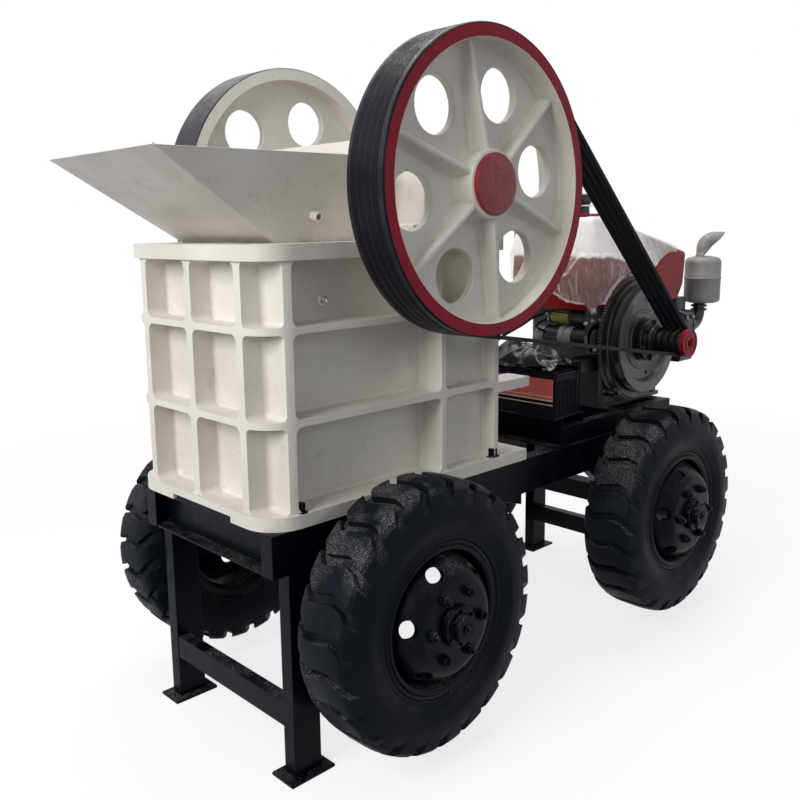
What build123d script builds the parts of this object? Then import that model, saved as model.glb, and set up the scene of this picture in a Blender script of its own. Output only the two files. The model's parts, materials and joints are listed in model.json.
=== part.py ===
from build123d import *
import math
import os

os.makedirs("parts", exist_ok=True)

# Sizes in millimetres. X runs from the feed end to the engine, -Y is the drive side, Z is up.

# The crusher frame stands a little to the far side of the chassis middle.
MID_Y = 25
FRAME_HALF = 364
FLANGE_LIP = 8
FLANGE_HALF = FRAME_HALF + FLANGE_LIP

# Chassis: two channel rails on four fixed legs.
RAIL_TOP = 756
RAIL_HEIGHT = 126
RAIL_FLANGE = 53
RAIL_WALL = 7
RAIL_OUT_Y = 343
CHASSIS_FRONT = 5
CHASSIS_REAR = 2150
RAIL_BOTTOM = RAIL_TOP - RAIL_HEIGHT
END_INSET = 3
CROSS_FLANGE = 50
MIDDLE_BEAM_X = 1190
GUSSET_X = (980, 1105)
GUSSET_DROP = 38
GUSSET_THICK = 10

LEG_LENGTH_X = 98
LEG_WIDTH_Y = 50
LEG_WALL = 5
FRONT_LEG_X = 59
REAR_LEG_X = CHASSIS_REAR - 120
FOOT_X = 160
FOOT_Y = 100
FOOT_THICK = 10
BRACE_TOP = 228
BRACE_HEIGHT = 76
BRACE_THICK = 44
BRACE_WALL = 6

# Road wheels and axles.
FRONT_AXLE_X = 416
REAR_AXLE_X = 1779
AXLE_Z = 466.5
AXLE_BEAM = 75
SPINDLE_RADIUS = 28
RUNNING_FIT = 0.05
HANGER_Y = (293, 330)
HANGER_HALF = (240, 90)
TYRE_WIDTH = 215
TYRE_GAP = 14
TYRE_IN_Y = MID_Y + FRAME_HALF + TYRE_GAP
TYRE_OUT_Y = TYRE_IN_Y + TYRE_WIDTH
AXLE_BEAM_END_Y = TYRE_IN_Y - 18
TYRE_RADIUS = 405
CARCASS_RADIUS = 384
LUG_COUNT = 24
LUG_SHARE = 0.7
LUG_ROOT = 340
TYRE_SECTION = [(203, 69), (233, 83), (236, 91), (270, 103), (300, 107.5), (335, 104), (368, 92), (384, 76)]
TYRE_HOLLOW = [(203, 52), (240, 66), (300, 86), (350, 78), (366, 50)]
TREAD_ENVELOPE = [(343, 105.5), (350, 104), (388, 95), (402, 72), (405, 0)]
LUG_SHIFT = ((-1.0, -0.42), (-0.45, 0.10), (0.30, -0.06), (0.62, 0.03), (1.0, 0.42))
RIM_SEAT_RADIUS = 203
RIM_FLANGE_RADIUS = 233
RIM_OUT_Y = TYRE_OUT_Y - 18
RIM_IN_Y = TYRE_IN_Y + 18
RIM_SHEET = 8
DISC_FACE_Y = TYRE_OUT_Y + 28
SPINDLE_END_Y = DISC_FACE_Y
DISC_THICK = 10
DISC_SECTION = [(60, 0), (130, 0), (158, 14)]
DISC_BACK = [(152, 25), (128, 10), (60, 10)]
DISC_SEAT_Y = (DISC_FACE_Y - 86, DISC_FACE_Y - 98)
RIM_LIP = 6
RIM_SHOULDER = 20
HUB_FACE_Y = DISC_FACE_Y + 32
HUB_CAP_Y = HUB_FACE_Y + 22
HUB_BACK_Y = DISC_FACE_Y - 146
HUB_RADIUS_WHEEL = 60
HUB_FLANGE_RADIUS = 128
HUB_FLANGE_THICK = 16
HUB_CAP_RADIUS = 40
HUB_END_GAP = 8
NUT_RADIUS = 15
NUT_HEIGHT = 18
STUD_RADIUS = 102.5
STUD_COUNT = 6
HAND_HOLE_COUNT = 6
HAND_HOLE_CIRCLE = 168
HAND_HOLE_HALF = (14, 26)

# Crusher frame.
FRAME_FRONT = 5
FRAME_REAR = 974
FLANGE_FRONT = -3
BASE_FLANGE_REAR = 1124
LEDGE_REAR = 1145
TOP_FLANGE_REAR = 985
CORNER_RADIUS = 110
FLANGE_THICK = 40
TOP_FLANGE_THICK = 44
PACKER_HALF = 156
PACKER_THICK = 18
PACKER_DEPTH = 60
PACKER_GAP = 2
FRAME_TOP = 1543
LOWER_RIB = (1042, 1062)
UPPER_RIB = (1300, 1320)
WALL_OUT = 268
WALL_IN = 238
MID_RIB_HALF = 15
FRONT_PLATE = (80, 105)
SECOND_RIB = (693, 711)
REAR_RIB = (955, 974)
REAR_WALL_X = 935
SHALLOW_OUT = 312
LEDGE_TOP = 1053
LEDGE_THICK = 34
POCKET_CORNER = 24
POCKET_ROOT = 10
CORNER_POCKET_ROUND = 16
OVERCUT = 30

# Feed hopper of bent and welded sheet.
HOPPER_SHEET = 6
HOPPER_LIP = (-246, 294, 1788)
HOPPER_FOOT = (145, 241)
HOPPER_REAR = (440, 1834)
HOPPER_NORMAL = (0.53, 0, 0.85)

# Crushing chamber: 250 by 400 nominal.
JAW_HALF_WIDTH = 200
CHEEK_THICK = 30
JAW_FOOT = (242, 826)
JAW_HEAD = (430, 1488)

# Drive.
SHAFT_X = 727
SHAFT_Z = 1700
SHAFT_RADIUS = 50
WHEEL_RADIUS = 452
WHEEL_WIDTH = 146
WHEEL_GAP = 35
WHEEL_OUT = FRAME_HALF + WHEEL_GAP + WHEEL_WIDTH
RIM_DEPTH = 43
WEB_THICK = 28
WEB_INSET = 66
HOLE_RADIUS = 82
HOLE_CIRCLE = 284
HOLE_COUNT = 6
FIRST_HOLE = 9.7
BOSS_RADIUS = 102
BOSS_INWARD = 20
SPOKE_START = 90
SPOKE_THICK = 20
SPOKE_RISE = 34
SPOKE_DROP = 7
HUB_RADIUS = 95
HUB_PROUD = 15
HUB_RECESS = 10
SHAFT_PROUD = 10
HOUSING_IN = 245
HOUSING_OUT = FLANGE_HALF
HOUSING_HALF = 118
HOUSING_FOOT_HALF = 165
HOUSING_FOOT = 45
JAW_EYE_RADIUS = 112
JAW_EYE_GAP = 6
JAW_PROFILE = [(445, 1505), (620, 1765), (835, 1690), (560, 1250), (400, 900), (330, 820)]
TOGGLE_PROFILE = [(400, 900), (800, 965), (800, 1000), (418.286, 940)]
TOGGLE_HALF = 150
TOGGLE_SEAT = (800, 180, 920, 1050)
JAW_TOOTH = 12
JAW_TEETH = 10
JAW_LINER = 28
LINER_Z = (800, 1536)
CHEEK_X = (147, 385, 196)
BELT_COUNT = 4
BELT_MIDDLE_Y = MID_Y - WHEEL_OUT + WHEEL_WIDTH / 2 + 3
BELT_PITCH = 28
BELT_TOP_WIDTH = 22
BELT_BOTTOM_WIDTH = 14
BELT_HEIGHT = 13
BELT_PROUD = 0.5
GROOVE_TOP_WIDTH = 23.5
GROOVE_BOTTOM_WIDTH = 14.3
GROOVE_DEPTH = 15

# Engine.
CRANK_X = 1952
CRANK_Z = 1101
PULLEY_RADIUS = 57
PULLEY_OUT_Y = MID_Y - WHEEL_OUT
PULLEY_IN_Y = -330
ENGINE_WHEEL_RADIUS = 250
ENGINE_FACE_RADIUS = 222
ENGINE_FACE_DEPTH = 36
ENGINE_WHEEL_OUT_Y = -336
ENGINE_WHEEL_IN_Y = -256
CRANK_RADIUS = 35
CRANK_END_Y = -150
BEARER_TOP = 826
BEARER_Y = (290, 335)
BEARER_WIDE = 60
TRAY_FRONT = 1313
TRAY_TOP = 866
TRAY_BEAM = 50
TRAY_LENGTH = 200
TRAY_SHEET = 8
TRAY_Y = (-323, 60)
CASE = (CRANK_X - 195, CRANK_X + 260, -240, 120, 842, 1240)
CASE_ROUND = 25
BULGE = (-40, 205, -240, -196, CRANK_X - 230, CRANK_X + 270)
ENGINE_FEET = (CRANK_X - 188, CRANK_X + 252, -248, 172)
BEARER_X = (ENGINE_FEET[0] + BEARER_WIDE, CHASSIS_REAR)
STARTER_FLANGE = (CRANK_X - 318, CRANK_X - 160, -250, -238, 1068, 1239)
BARREL = (CRANK_X + 220, CRANK_X + 410, -200, 90, 960, 1240)
BARREL_ROUND = 20
HEAD = (CRANK_X + 410, CRANK_X + 520, -262, 100, 950, 1180)
HEAD_ROUND = 14
ROCKER_COVER = (HEAD[0] + 12, HEAD[1] - 8, -232, 70, HEAD[5], 1240)
ROCKER_ROUND = 22
ENGINE_WHEEL_HOLES = 285
ENGINE_WHEEL_HOLE_CIRCLE = 150
ENGINE_WHEEL_HOLE = 9
ENGINE_WHEEL_BORE = 20
DISH_STEPS = [(90, 24), (90, 30), (168, 30), (182, 0)]
COUPLING_RADIUS = 88
COUPLING_LENGTH = 20
GEAR_TEETH = 72
GEAR_RADIUS = 258
GEAR_DEPTH = 6
GEAR_WIDTH = 16
MUFFLER_X = 2582
MUFFLER_Y = -240
MUFFLER_RADIUS = 80
MUFFLER_BOTTOM = 1202
MUFFLER_HEIGHT = 218
MUFFLER_TOP = MUFFLER_BOTTOM + MUFFLER_HEIGHT
SEAM_RISE = 117
PIPE_RADIUS = 26
ELBOW_X = 2562
ELBOW_Z = 1107
SPOUT_RADIUS = 30
SPOUT_RISE = 54
SPOUT_BEND = 46
SPOUT_RUN = 46
SPOUT_TURN = -42
SPOUT_WALL = 4
SPOUT_TRIM = (0.72, 0, -0.69)
SHOULDER = [(46, 0), (22, 2), (8, 9), (0, 24)]
BEAD = 6
ELBOW_STRAIGHT = 8
HOOD_BOTTOM = 1240
HOOD_TOP = 1600
HOOD_FRONT = 1655
HOOD_LEAN = 10
HOOD_CREST_X = 1760
HOOD_REAR = 2427
HOOD_REAR_TOP = 1446
HOOD_REAR_FOOT = [(HOOD_REAR - 15, 1300), (HOOD_REAR - 57, HOOD_BOTTOM)]
HOOD_Y = (-240, 150)
HOOD_ROUND = 20
FILM_GAP = 0.3
FILM_THICK = 1.2
FILM_REAR = 2335
FILM_HEM = [(1700, 1262), (1900, 1262), (1990, 1330), (2130, 1385), (2290, 1430)]
FILM_FAR_Y = 110
FILM_FRONT_Y = -90
FILM_FRONT_HEM = 1290
FILM_COLLAR = 2
NECK = (1720, -140)
NECK_RADIUS = 30
NECK_HEIGHT = 60
CAP_RADIUS = 38
CAP_HEIGHT = 22
STARTER_X = CRANK_X - 260
STARTER_Z = 1122
STARTER_RADIUS = 46
STARTER_END_Y = 30
SOLENOID_RADIUS = 30
SOLENOID_LIFT = 80
SOLENOID_END_Y = -34
STARTER_BELL = 24
BELL_SHARE = 0.82
BATTERY_X = (TRAY_FRONT + 6, TRAY_FRONT + 178)
BATTERY_Y = (TRAY_Y[0] + 5, 12)
LID_Z = (TRAY_TOP + 122, TRAY_TOP + 146)
BATTERY_TOP = LID_Z[1] + 6
LID_STEP = (22, 14)
CASE_INSET = 3
TERMINAL_RADIUS = 10
TERMINAL_RISE = 16
TERMINAL_INSET = (36, 50)


def block(x0, x1, y0, y1, z0, z1):
    """Box between two corners."""
    centre = ((x0 + x1) / 2, (y0 + y1) / 2, (z0 + z1) / 2)
    return Pos(*centre) * Box(x1 - x0, y1 - y0, z1 - z0)


def drum(x, z, radius, y0, y1):
    """Cylinder along Y."""
    placed = Pos(x, (y0 + y1) / 2, z) * Rot(90, 0, 0)
    return placed * Cylinder(radius, abs(y1 - y0))


def post(x, y, radius, z0, z1):
    """Cylinder along Z."""
    return Pos(x, y, (z0 + z1) / 2) * Cylinder(radius, z1 - z0)


def slab_xz(points, y0, y1):
    """Polygon in the XZ plane, given depth along Y."""
    face = make_face(Polyline(*[(x, y0, z) for x, z in points], close=True))
    return extrude(face, amount=abs(y1 - y0), dir=(0, 1 if y1 > y0 else -1, 0))


def plate(points, thick, towards):
    """Flat plate from four or more corners, thickened towards a direction."""
    face = make_face(Polyline(*points, close=True))
    return extrude(face, amount=thick, dir=towards)


def turned(profile, x, z):
    """Ring from an (r, y) profile turned about a Y axis through x, z."""
    face = make_face(Polyline(*[(r, y, 0) for r, y in profile], close=True))
    ring = revolve(face, axis=Axis.Y, revolution_arc=360)
    return Pos(x, 0, z) * ring


def plan_outline(x0, x1, half):
    """Rectangle seen from above with its two feed-end corners rounded."""
    outline = Pos((x0 + x1) / 2, MID_Y, 0) * Rectangle(x1 - x0, 2 * half)
    front = outline.vertices().sort_by(Axis.X)[:2]
    return fillet(front, CORNER_RADIUS)


def channel_rail(side):
    """Channel with its web outside and plates closing its ends."""
    y_web = side * RAIL_OUT_Y
    y_in = side * (RAIL_OUT_Y - RAIL_FLANGE)
    low, high = sorted((y_web, y_in))
    rail = block(CHASSIS_FRONT, CHASSIS_REAR, low, high, RAIL_BOTTOM, RAIL_TOP)
    inside = (side * (RAIL_OUT_Y - RAIL_WALL), side * (RAIL_OUT_Y - RAIL_FLANGE - 1))
    hollow = block(CHASSIS_FRONT + RAIL_WALL, CHASSIS_REAR - RAIL_WALL, min(inside), max(inside),
                   RAIL_BOTTOM + RAIL_WALL, RAIL_TOP - RAIL_WALL)
    return rail - hollow


def rail_gusset(side):
    """Triangular plate under a rail by the middle cross member."""
    y_web = side * RAIL_OUT_Y
    x0, x1 = GUSSET_X
    points = [(x0, RAIL_BOTTOM), (x1, RAIL_BOTTOM), (x1, RAIL_BOTTOM - GUSSET_DROP)]
    return slab_xz(points, y_web, y_web - side * GUSSET_THICK)


def cross_channel(x_open, x_web, half, z0, z1):
    """Cross member whose channel opens towards x_open."""
    low, high = sorted((x_open, x_web))
    whole = block(low, high, -half, half, z0, z1)
    if x_web > x_open:
        inside = block(low - 1, high - RAIL_WALL, -half - 1, half + 1, z0 + RAIL_WALL, z1 - RAIL_WALL)
    else:
        inside = block(low + RAIL_WALL, high + 1, -half - 1, half + 1, z0 + RAIL_WALL, z1 - RAIL_WALL)
    return whole - inside


def leg(x0, side):
    """Square-tube leg with its foot plate."""
    y_low, y_high = sorted((side * RAIL_OUT_Y, side * (RAIL_OUT_Y - LEG_WIDTH_Y)))
    x1 = x0 + LEG_LENGTH_X
    tube = block(x0, x1, y_low, y_high, FOOT_THICK, RAIL_BOTTOM)
    tube -= block(x0 + LEG_WALL, x1 - LEG_WALL, y_low + LEG_WALL, y_high - LEG_WALL, FOOT_THICK, RAIL_BOTTOM)
    foot_x = x0 + LEG_LENGTH_X / 2
    foot_y = (y_low + y_high) / 2
    foot = Pos(foot_x, foot_y, FOOT_THICK / 2) * Box(FOOT_X, FOOT_Y, FOOT_THICK)
    return tube + foot


def leg_brace(x0):
    """Angle bar between the two legs of one end."""
    half = RAIL_OUT_Y - LEG_WIDTH_Y
    brace = block(x0, x0 + BRACE_THICK, -half, half, BRACE_TOP - BRACE_HEIGHT, BRACE_TOP)
    inside = block(x0 + BRACE_WALL, x0 + BRACE_THICK + 1, -half - 1, half + 1,
                   BRACE_TOP - BRACE_HEIGHT - 1, BRACE_TOP - BRACE_WALL)
    return brace - inside


def axle(x):
    """Square axle beam with a turned spindle at each end."""
    beam = block(x - AXLE_BEAM / 2, x + AXLE_BEAM / 2, -AXLE_BEAM_END_Y, AXLE_BEAM_END_Y,
                 AXLE_Z - AXLE_BEAM / 2, AXLE_Z + AXLE_BEAM / 2)
    return beam + drum(x, AXLE_Z, SPINDLE_RADIUS, -SPINDLE_END_Y, SPINDLE_END_Y)


def axle_hanger(x, side):
    """Tapered hanger plate box from the rail down to the axle beam."""
    y_low, y_high = sorted((side * HANGER_Y[0], side * HANGER_Y[1]))
    top = AXLE_Z + AXLE_BEAM / 2
    points = [(x - HANGER_HALF[0], RAIL_BOTTOM), (x + HANGER_HALF[0], RAIL_BOTTOM),
              (x + HANGER_HALF[1], top), (x - HANGER_HALF[1], top)]
    return slab_xz(points, y_low, y_high)


def pocket(x0, x1, y0, y1, z0, z1, depth_axis, deep_end):
    """Pocket cutter with rounded corners and a rounded root; deep_end is where it stops."""
    cutter = block(x0, x1, y0, y1, z0, z1)
    cutter = fillet(cutter.edges().filter_by(depth_axis), POCKET_CORNER)
    root = cutter.edges().filter_by_position(depth_axis, deep_end - 0.01, deep_end + 0.01)
    return fillet(root, POCKET_ROOT)


def corner_pocket(side, z0, z1):
    """Pocket at a feed-end corner, bounded by the side wall's end and the front plate."""
    y_wall = MID_Y + side * WALL_OUT
    y_out = MID_Y + side * (FLANGE_HALF + OVERCUT)
    low, high = sorted((y_wall, y_out))
    cutter = block(FLANGE_FRONT - OVERCUT, FRONT_PLATE[0], low, high, z0, z1)
    ends = [e for e in cutter.edges().filter_by(Axis.X)
            if abs(e.center().Y - y_wall) < 0.01]
    ends += [e for e in cutter.edges().filter_by(Axis.Y)
             if abs(e.center().X - FRONT_PLATE[0]) < 0.01]
    ends += [e for e in cutter.edges().filter_by(Axis.Z)
             if abs(e.center().Y - y_wall) < 0.01 and abs(e.center().X - FRONT_PLATE[0]) < 0.01]
    return fillet(ends, CORNER_POCKET_ROUND)


def crusher_frame():
    """Whole ribbed frame: flanges and ribs left standing round rounded pockets."""
    floor = RAIL_TOP
    frame = extrude(plan_outline(FRAME_FRONT, FRAME_REAR, FRAME_HALF), FRAME_TOP - floor)
    frame += extrude(plan_outline(FLANGE_FRONT, BASE_FLANGE_REAR, FLANGE_HALF), FLANGE_THICK)
    top_flange = extrude(plan_outline(FLANGE_FRONT, TOP_FLANGE_REAR, FLANGE_HALF), TOP_FLANGE_THICK)
    frame += Pos(0, 0, FRAME_TOP - TOP_FLANGE_THICK - floor) * top_flange
    frame = Pos(0, 0, floor) * frame
    frame -= block(FRONT_PLATE[1], REAR_WALL_X, MID_Y - WALL_IN, MID_Y + WALL_IN, floor - 1, FRAME_TOP + 1)
    rows = [(floor + FLANGE_THICK, LOWER_RIB[0]), (LOWER_RIB[1], UPPER_RIB[0]),
            (UPPER_RIB[1], FRAME_TOP - TOP_FLANGE_THICK)]
    front_columns = [(-WALL_IN, -MID_RIB_HALF), (MID_RIB_HALF, WALL_IN)]
    side_columns = [(FRONT_PLATE[1], SECOND_RIB[0], WALL_OUT), (SECOND_RIB[1], REAR_RIB[0], SHALLOW_OUT)]
    for z0, z1 in rows:
        for y0, y1 in front_columns:
            frame -= pocket(FLANGE_FRONT - OVERCUT, FRONT_PLATE[0], MID_Y + y0, MID_Y + y1, z0, z1,
                            Axis.X, FRONT_PLATE[0])
        for side in (-1, 1):
            frame -= corner_pocket(side, z0, z1)
            for x0, x1, wall in side_columns:
                low, high = sorted((MID_Y + side * wall, MID_Y + side * (FLANGE_HALF + OVERCUT)))
                frame -= pocket(x0, x1, low, high, z0, z1, Axis.Y, MID_Y + side * wall)
    notch = PACKER_HALF + PACKER_GAP
    frame -= block(FLANGE_FRONT - 1, PACKER_DEPTH + PACKER_GAP, -notch, notch,
                   floor - 1, floor + PACKER_THICK)
    for side in (-1, 1):
        low, high = sorted((MID_Y + side * WALL_OUT, MID_Y + side * FRAME_HALF))
        frame += block(FRAME_REAR - 1, LEDGE_REAR, low, high, LEDGE_TOP - LEDGE_THICK, LEDGE_TOP)
    return frame


def swing_jaw():
    """Jaw casting hung on the shaft, narrowing to the discharge."""
    low, high = MID_Y - JAW_HALF_WIDTH, MID_Y + JAW_HALF_WIDTH
    jaw = slab_xz([JAW_HEAD] + JAW_PROFILE + [JAW_FOOT], low, high)
    jaw += drum(SHAFT_X, SHAFT_Z, JAW_EYE_RADIUS, low, high)
    return jaw - drum(SHAFT_X, SHAFT_Z, SHAFT_RADIUS + JAW_EYE_GAP, low - OVERCUT, high + OVERCUT)


def jaw_plate(foot, head):
    """Toothed liner between a foot point and a head point, teeth facing the chamber."""
    run = (head[0] - foot[0], head[1] - foot[1])
    length = math.hypot(*run)
    pitch = 2 * JAW_HALF_WIDTH / JAW_TEETH
    points = [(0, -JAW_HALF_WIDTH)]
    for i in range(JAW_TEETH):
        base = -JAW_HALF_WIDTH + i * pitch
        points += [(JAW_LINER, base + 0.15 * pitch), (JAW_LINER + JAW_TOOTH, base + 0.5 * pitch),
                   (JAW_LINER, base + 0.85 * pitch)]
    points += [(0, JAW_HALF_WIDTH)]
    section = make_face(Polyline(*[(a, b, 0) for a, b in points], close=True))
    liner = extrude(section, amount=length, dir=(0, 0, 1))
    lean = math.degrees(math.atan2(run[0], run[1]))
    return Pos(foot[0], MID_Y, foot[1]) * Rot(0, lean, 0) * liner


def bearing_housing(side):
    """Cast housing with a round cap, bored for the shaft."""
    low, high = sorted((MID_Y + side * HOUSING_IN, MID_Y + side * HOUSING_OUT))
    foot = HOUSING_FOOT_HALF
    base = block(SHAFT_X - foot, SHAFT_X + foot, low, high, FRAME_TOP, FRAME_TOP + HOUSING_FOOT)
    neck = block(SHAFT_X - HOUSING_HALF, SHAFT_X + HOUSING_HALF, low, high, FRAME_TOP, SHAFT_Z)
    cap = drum(SHAFT_X, SHAFT_Z, HOUSING_HALF, low, high)
    return base + neck + cap - drum(SHAFT_X, SHAFT_Z, SHAFT_RADIUS + RUNNING_FIT, low - 1, high + 1)


def belt_centres():
    """Y of each belt's middle."""
    return [BELT_MIDDLE_Y + (i - (BELT_COUNT - 1) / 2) * BELT_PITCH for i in range(BELT_COUNT)]


def grooved_rim_profile(radius, y0, y1, bore):
    """(r, y) profile of a rim with its V-grooves."""
    profile = [(bore, y0), (radius, y0)]
    for y in belt_centres():
        profile += [(radius, y - GROOVE_TOP_WIDTH / 2), (radius - GROOVE_DEPTH, y - GROOVE_BOTTOM_WIDTH / 2),
                    (radius - GROOVE_DEPTH, y + GROOVE_BOTTOM_WIDTH / 2), (radius, y + GROOVE_TOP_WIDTH / 2)]
    return profile + [(radius, y1), (bore, y1)]


def drive_wheel(side, grooved):
    """Cast flywheel: rim, web with round holes, stiffening ribs and boss."""
    y_out = MID_Y + side * WHEEL_OUT
    y_in = MID_Y + side * (WHEEL_OUT - WHEEL_WIDTH)
    y_web = MID_Y + side * (WHEEL_OUT - WEB_INSET)
    y_back = y_web - side * WEB_THICK
    low, high = sorted((y_out, y_in))
    inner = WHEEL_RADIUS - RIM_DEPTH
    smooth = [(inner, low), (WHEEL_RADIUS, low), (WHEEL_RADIUS, high), (inner, high)]
    profile = grooved_rim_profile(WHEEL_RADIUS, low, high, inner) if grooved else smooth
    rim = turned(profile, SHAFT_X, SHAFT_Z)
    web = drum(SHAFT_X, SHAFT_Z, inner + 5, y_back, y_web)
    boss = drum(SHAFT_X, SHAFT_Z, BOSS_RADIUS, y_in - side * BOSS_INWARD, y_out)
    wheel = rim + web + boss
    rib_profile = [(SPOKE_START, y_web), (inner + 4, y_web), (inner + 4, y_web + side * SPOKE_RISE),
                   (SPOKE_START, y_out - side * SPOKE_DROP)]
    half_step = 180 / HOLE_COUNT
    for i in range(HOLE_COUNT):
        angle = FIRST_HOLE + i * 360 / HOLE_COUNT
        c = math.cos(math.radians(angle))
        s = math.sin(math.radians(angle))
        hole_x = SHAFT_X + HOLE_CIRCLE * c
        hole_z = SHAFT_Z + HOLE_CIRCLE * s
        wheel -= drum(hole_x, hole_z, HOLE_RADIUS, y_back - side, y_web + side)
        rib = slab_rib(rib_profile, SPOKE_THICK)
        wheel += Pos(SHAFT_X, 0, SHAFT_Z) * Rot(0, -(angle + half_step), 0) * rib
    return wheel - drum(SHAFT_X, SHAFT_Z, SHAFT_RADIUS, y_in - side * OVERCUT, y_out + side * OVERCUT)


def slab_rib(profile, thick):
    """Radial rib along +X from an (r, y) profile."""
    face = make_face(Polyline(*[(r, y, -thick / 2) for r, y in profile], close=True))
    return extrude(face, amount=thick, dir=(0, 0, 1))


def belt_loop(y):
    """V-belt round the drive wheel and the engine pulley."""
    dx = CRANK_X - SHAFT_X
    dz = CRANK_Z - SHAFT_Z
    span = math.hypot(dx, dz)
    ux, uz = dx / span, dz / span
    lean = math.asin((WHEEL_RADIUS - PULLEY_RADIUS) / span)

    def ring(sign, radius, centre):
        nx = -uz * sign * math.cos(lean) + ux * math.sin(lean)
        nz = ux * sign * math.cos(lean) + uz * math.sin(lean)
        return (centre[0] + radius * nx, centre[1] + radius * nz)

    def loop(drop):
        big = WHEEL_RADIUS - drop
        small = PULLEY_RADIUS - drop
        shaft = (SHAFT_X, SHAFT_Z)
        crank = (CRANK_X, CRANK_Z)
        a, b = ring(1, big, shaft), ring(1, small, crank)
        c, d = ring(-1, small, crank), ring(-1, big, shaft)
        far_small = (crank[0] + small * ux, crank[1] + small * uz)
        far_big = (shaft[0] - big * ux, shaft[1] - big * uz)
        return [Line((a[0], 0, a[1]), (b[0], 0, b[1])),
                ThreePointArc((b[0], 0, b[1]), (far_small[0], 0, far_small[1]), (c[0], 0, c[1])),
                Line((c[0], 0, c[1]), (d[0], 0, d[1])),
                ThreePointArc((d[0], 0, d[1]), (far_big[0], 0, far_big[1]), (a[0], 0, a[1]))], a

    edges, start = loop(0)
    path = Wire([e for piece in edges for e in piece.edges()])
    nx = -uz * math.cos(lean) + ux * math.sin(lean)
    nz = ux * math.cos(lean) + uz * math.sin(lean)
    top = BELT_TOP_WIDTH / 2
    low = BELT_BOTTOM_WIDTH / 2
    out = (start[0] + BELT_PROUD * nx, start[1] + BELT_PROUD * nz)
    deep = (start[0] - BELT_HEIGHT * nx, start[1] - BELT_HEIGHT * nz)
    section = make_face(Polyline((out[0], top, out[1]), (deep[0], low, deep[1]),
                                 (deep[0], -low, deep[1]), (out[0], -top, out[1]), close=True))
    return Pos(0, y, 0) * sweep(section, path=path)


def tyre():
    """Near-side tyre at the origin: a hollow carcass with zig-zag lugs wrapped over its shoulders."""
    half = (TYRE_OUT_Y - TYRE_IN_Y) / 2
    profile = [(r, -w) for r, w in TYRE_SECTION] + [(r, w) for r, w in reversed(TYRE_SECTION)]
    inside = [(r, -w) for r, w in TYRE_HOLLOW] + [(r, w) for r, w in reversed(TYRE_HOLLOW)]
    body = turned(profile, 0, 0) - turned(inside, 0, 0)
    pitch = 2 * math.pi * CARCASS_RADIUS / LUG_COUNT
    lead = [(pitch * (shift - LUG_SHARE / 2), half * share) for share, shift in LUG_SHIFT]
    trail = [(pitch * (shift + LUG_SHARE / 2), half * share) for share, shift in reversed(LUG_SHIFT)]
    outline = make_face(Polyline(*[(0, -w, along) for along, w in lead + trail], close=True))
    bar = Pos(LUG_ROOT, 0, 0) * extrude(outline, amount=TYRE_RADIUS - LUG_ROOT, dir=(1, 0, 0))
    tread = [(r, -w) for r, w in TREAD_ENVELOPE] + [(r, w) for r, w in reversed(TREAD_ENVELOPE[:-1])]
    lug = bar & turned(tread, 0, 0)
    return body.fuse(*[Rot(0, i * 360 / LUG_COUNT, 0) * lug for i in range(LUG_COUNT)])


def wheel_rim(x, side):
    """Steel rim and outward-dished disc with oval hand holes."""
    seat = RIM_SEAT_RADIUS
    bore = seat - RIM_SHEET
    y_o = side * RIM_OUT_Y
    y_i = side * RIM_IN_Y
    ring = turned([(bore, y_o), (RIM_FLANGE_RADIUS, y_o), (RIM_FLANGE_RADIUS, y_o - side * RIM_LIP),
                   (seat, y_o - side * RIM_SHOULDER), (seat, y_i + side * RIM_SHOULDER),
                   (RIM_FLANGE_RADIUS, y_i + side * RIM_LIP), (RIM_FLANGE_RADIUS, y_i), (bore, y_i)], 0, 0)
    face = side * DISC_FACE_Y
    disc = turned([(r, face - side * inward) for r, inward in DISC_SECTION]
                  + [(bore, side * y) for y in DISC_SEAT_Y]
                  + [(r, face - side * inward) for r, inward in DISC_BACK], 0, 0)
    wheel = ring + disc
    for i in range(HAND_HOLE_COUNT):
        oval = extrude(Ellipse(*HAND_HOLE_HALF), RIM_FLANGE_RADIUS / 4, both=True)
        cutter = Pos(HAND_HOLE_CIRCLE, side * RIM_OUT_Y, 0) * Rot(90, 0, 0) * oval
        wheel -= Rot(0, (i + 0.5) * 360 / HAND_HOLE_COUNT, 0) * cutter
    return Pos(x, 0, AXLE_Z) * wheel


def wheel_hub(x, side):
    """Hub with its flange, cap and stud nuts, bored for the spindle."""
    face = side * DISC_FACE_Y
    back = face - side * DISC_THICK
    hub = drum(0, 0, HUB_RADIUS_WHEEL, side * HUB_BACK_Y, side * HUB_FACE_Y)
    hub += drum(0, 0, HUB_FLANGE_RADIUS, back - side * HUB_FLANGE_THICK, back)
    hub += drum(0, 0, HUB_CAP_RADIUS, side * HUB_FACE_Y, side * HUB_CAP_Y)
    for i in range(STUD_COUNT):
        angle = math.radians(i * 360 / STUD_COUNT)
        nut = Rot(90, 0, 0) * extrude(RegularPolygon(NUT_RADIUS, 6), NUT_HEIGHT)
        y = face if side < 0 else face + NUT_HEIGHT
        hub += Pos(STUD_RADIUS * math.cos(angle), y, STUD_RADIUS * math.sin(angle)) * nut
    bore_end = side * (SPINDLE_END_Y + HUB_END_GAP)
    hub -= drum(0, 0, SPINDLE_RADIUS + RUNNING_FIT, side * (HUB_BACK_Y - 1), bore_end)
    return Pos(x, 0, AXLE_Z) * hub


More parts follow.
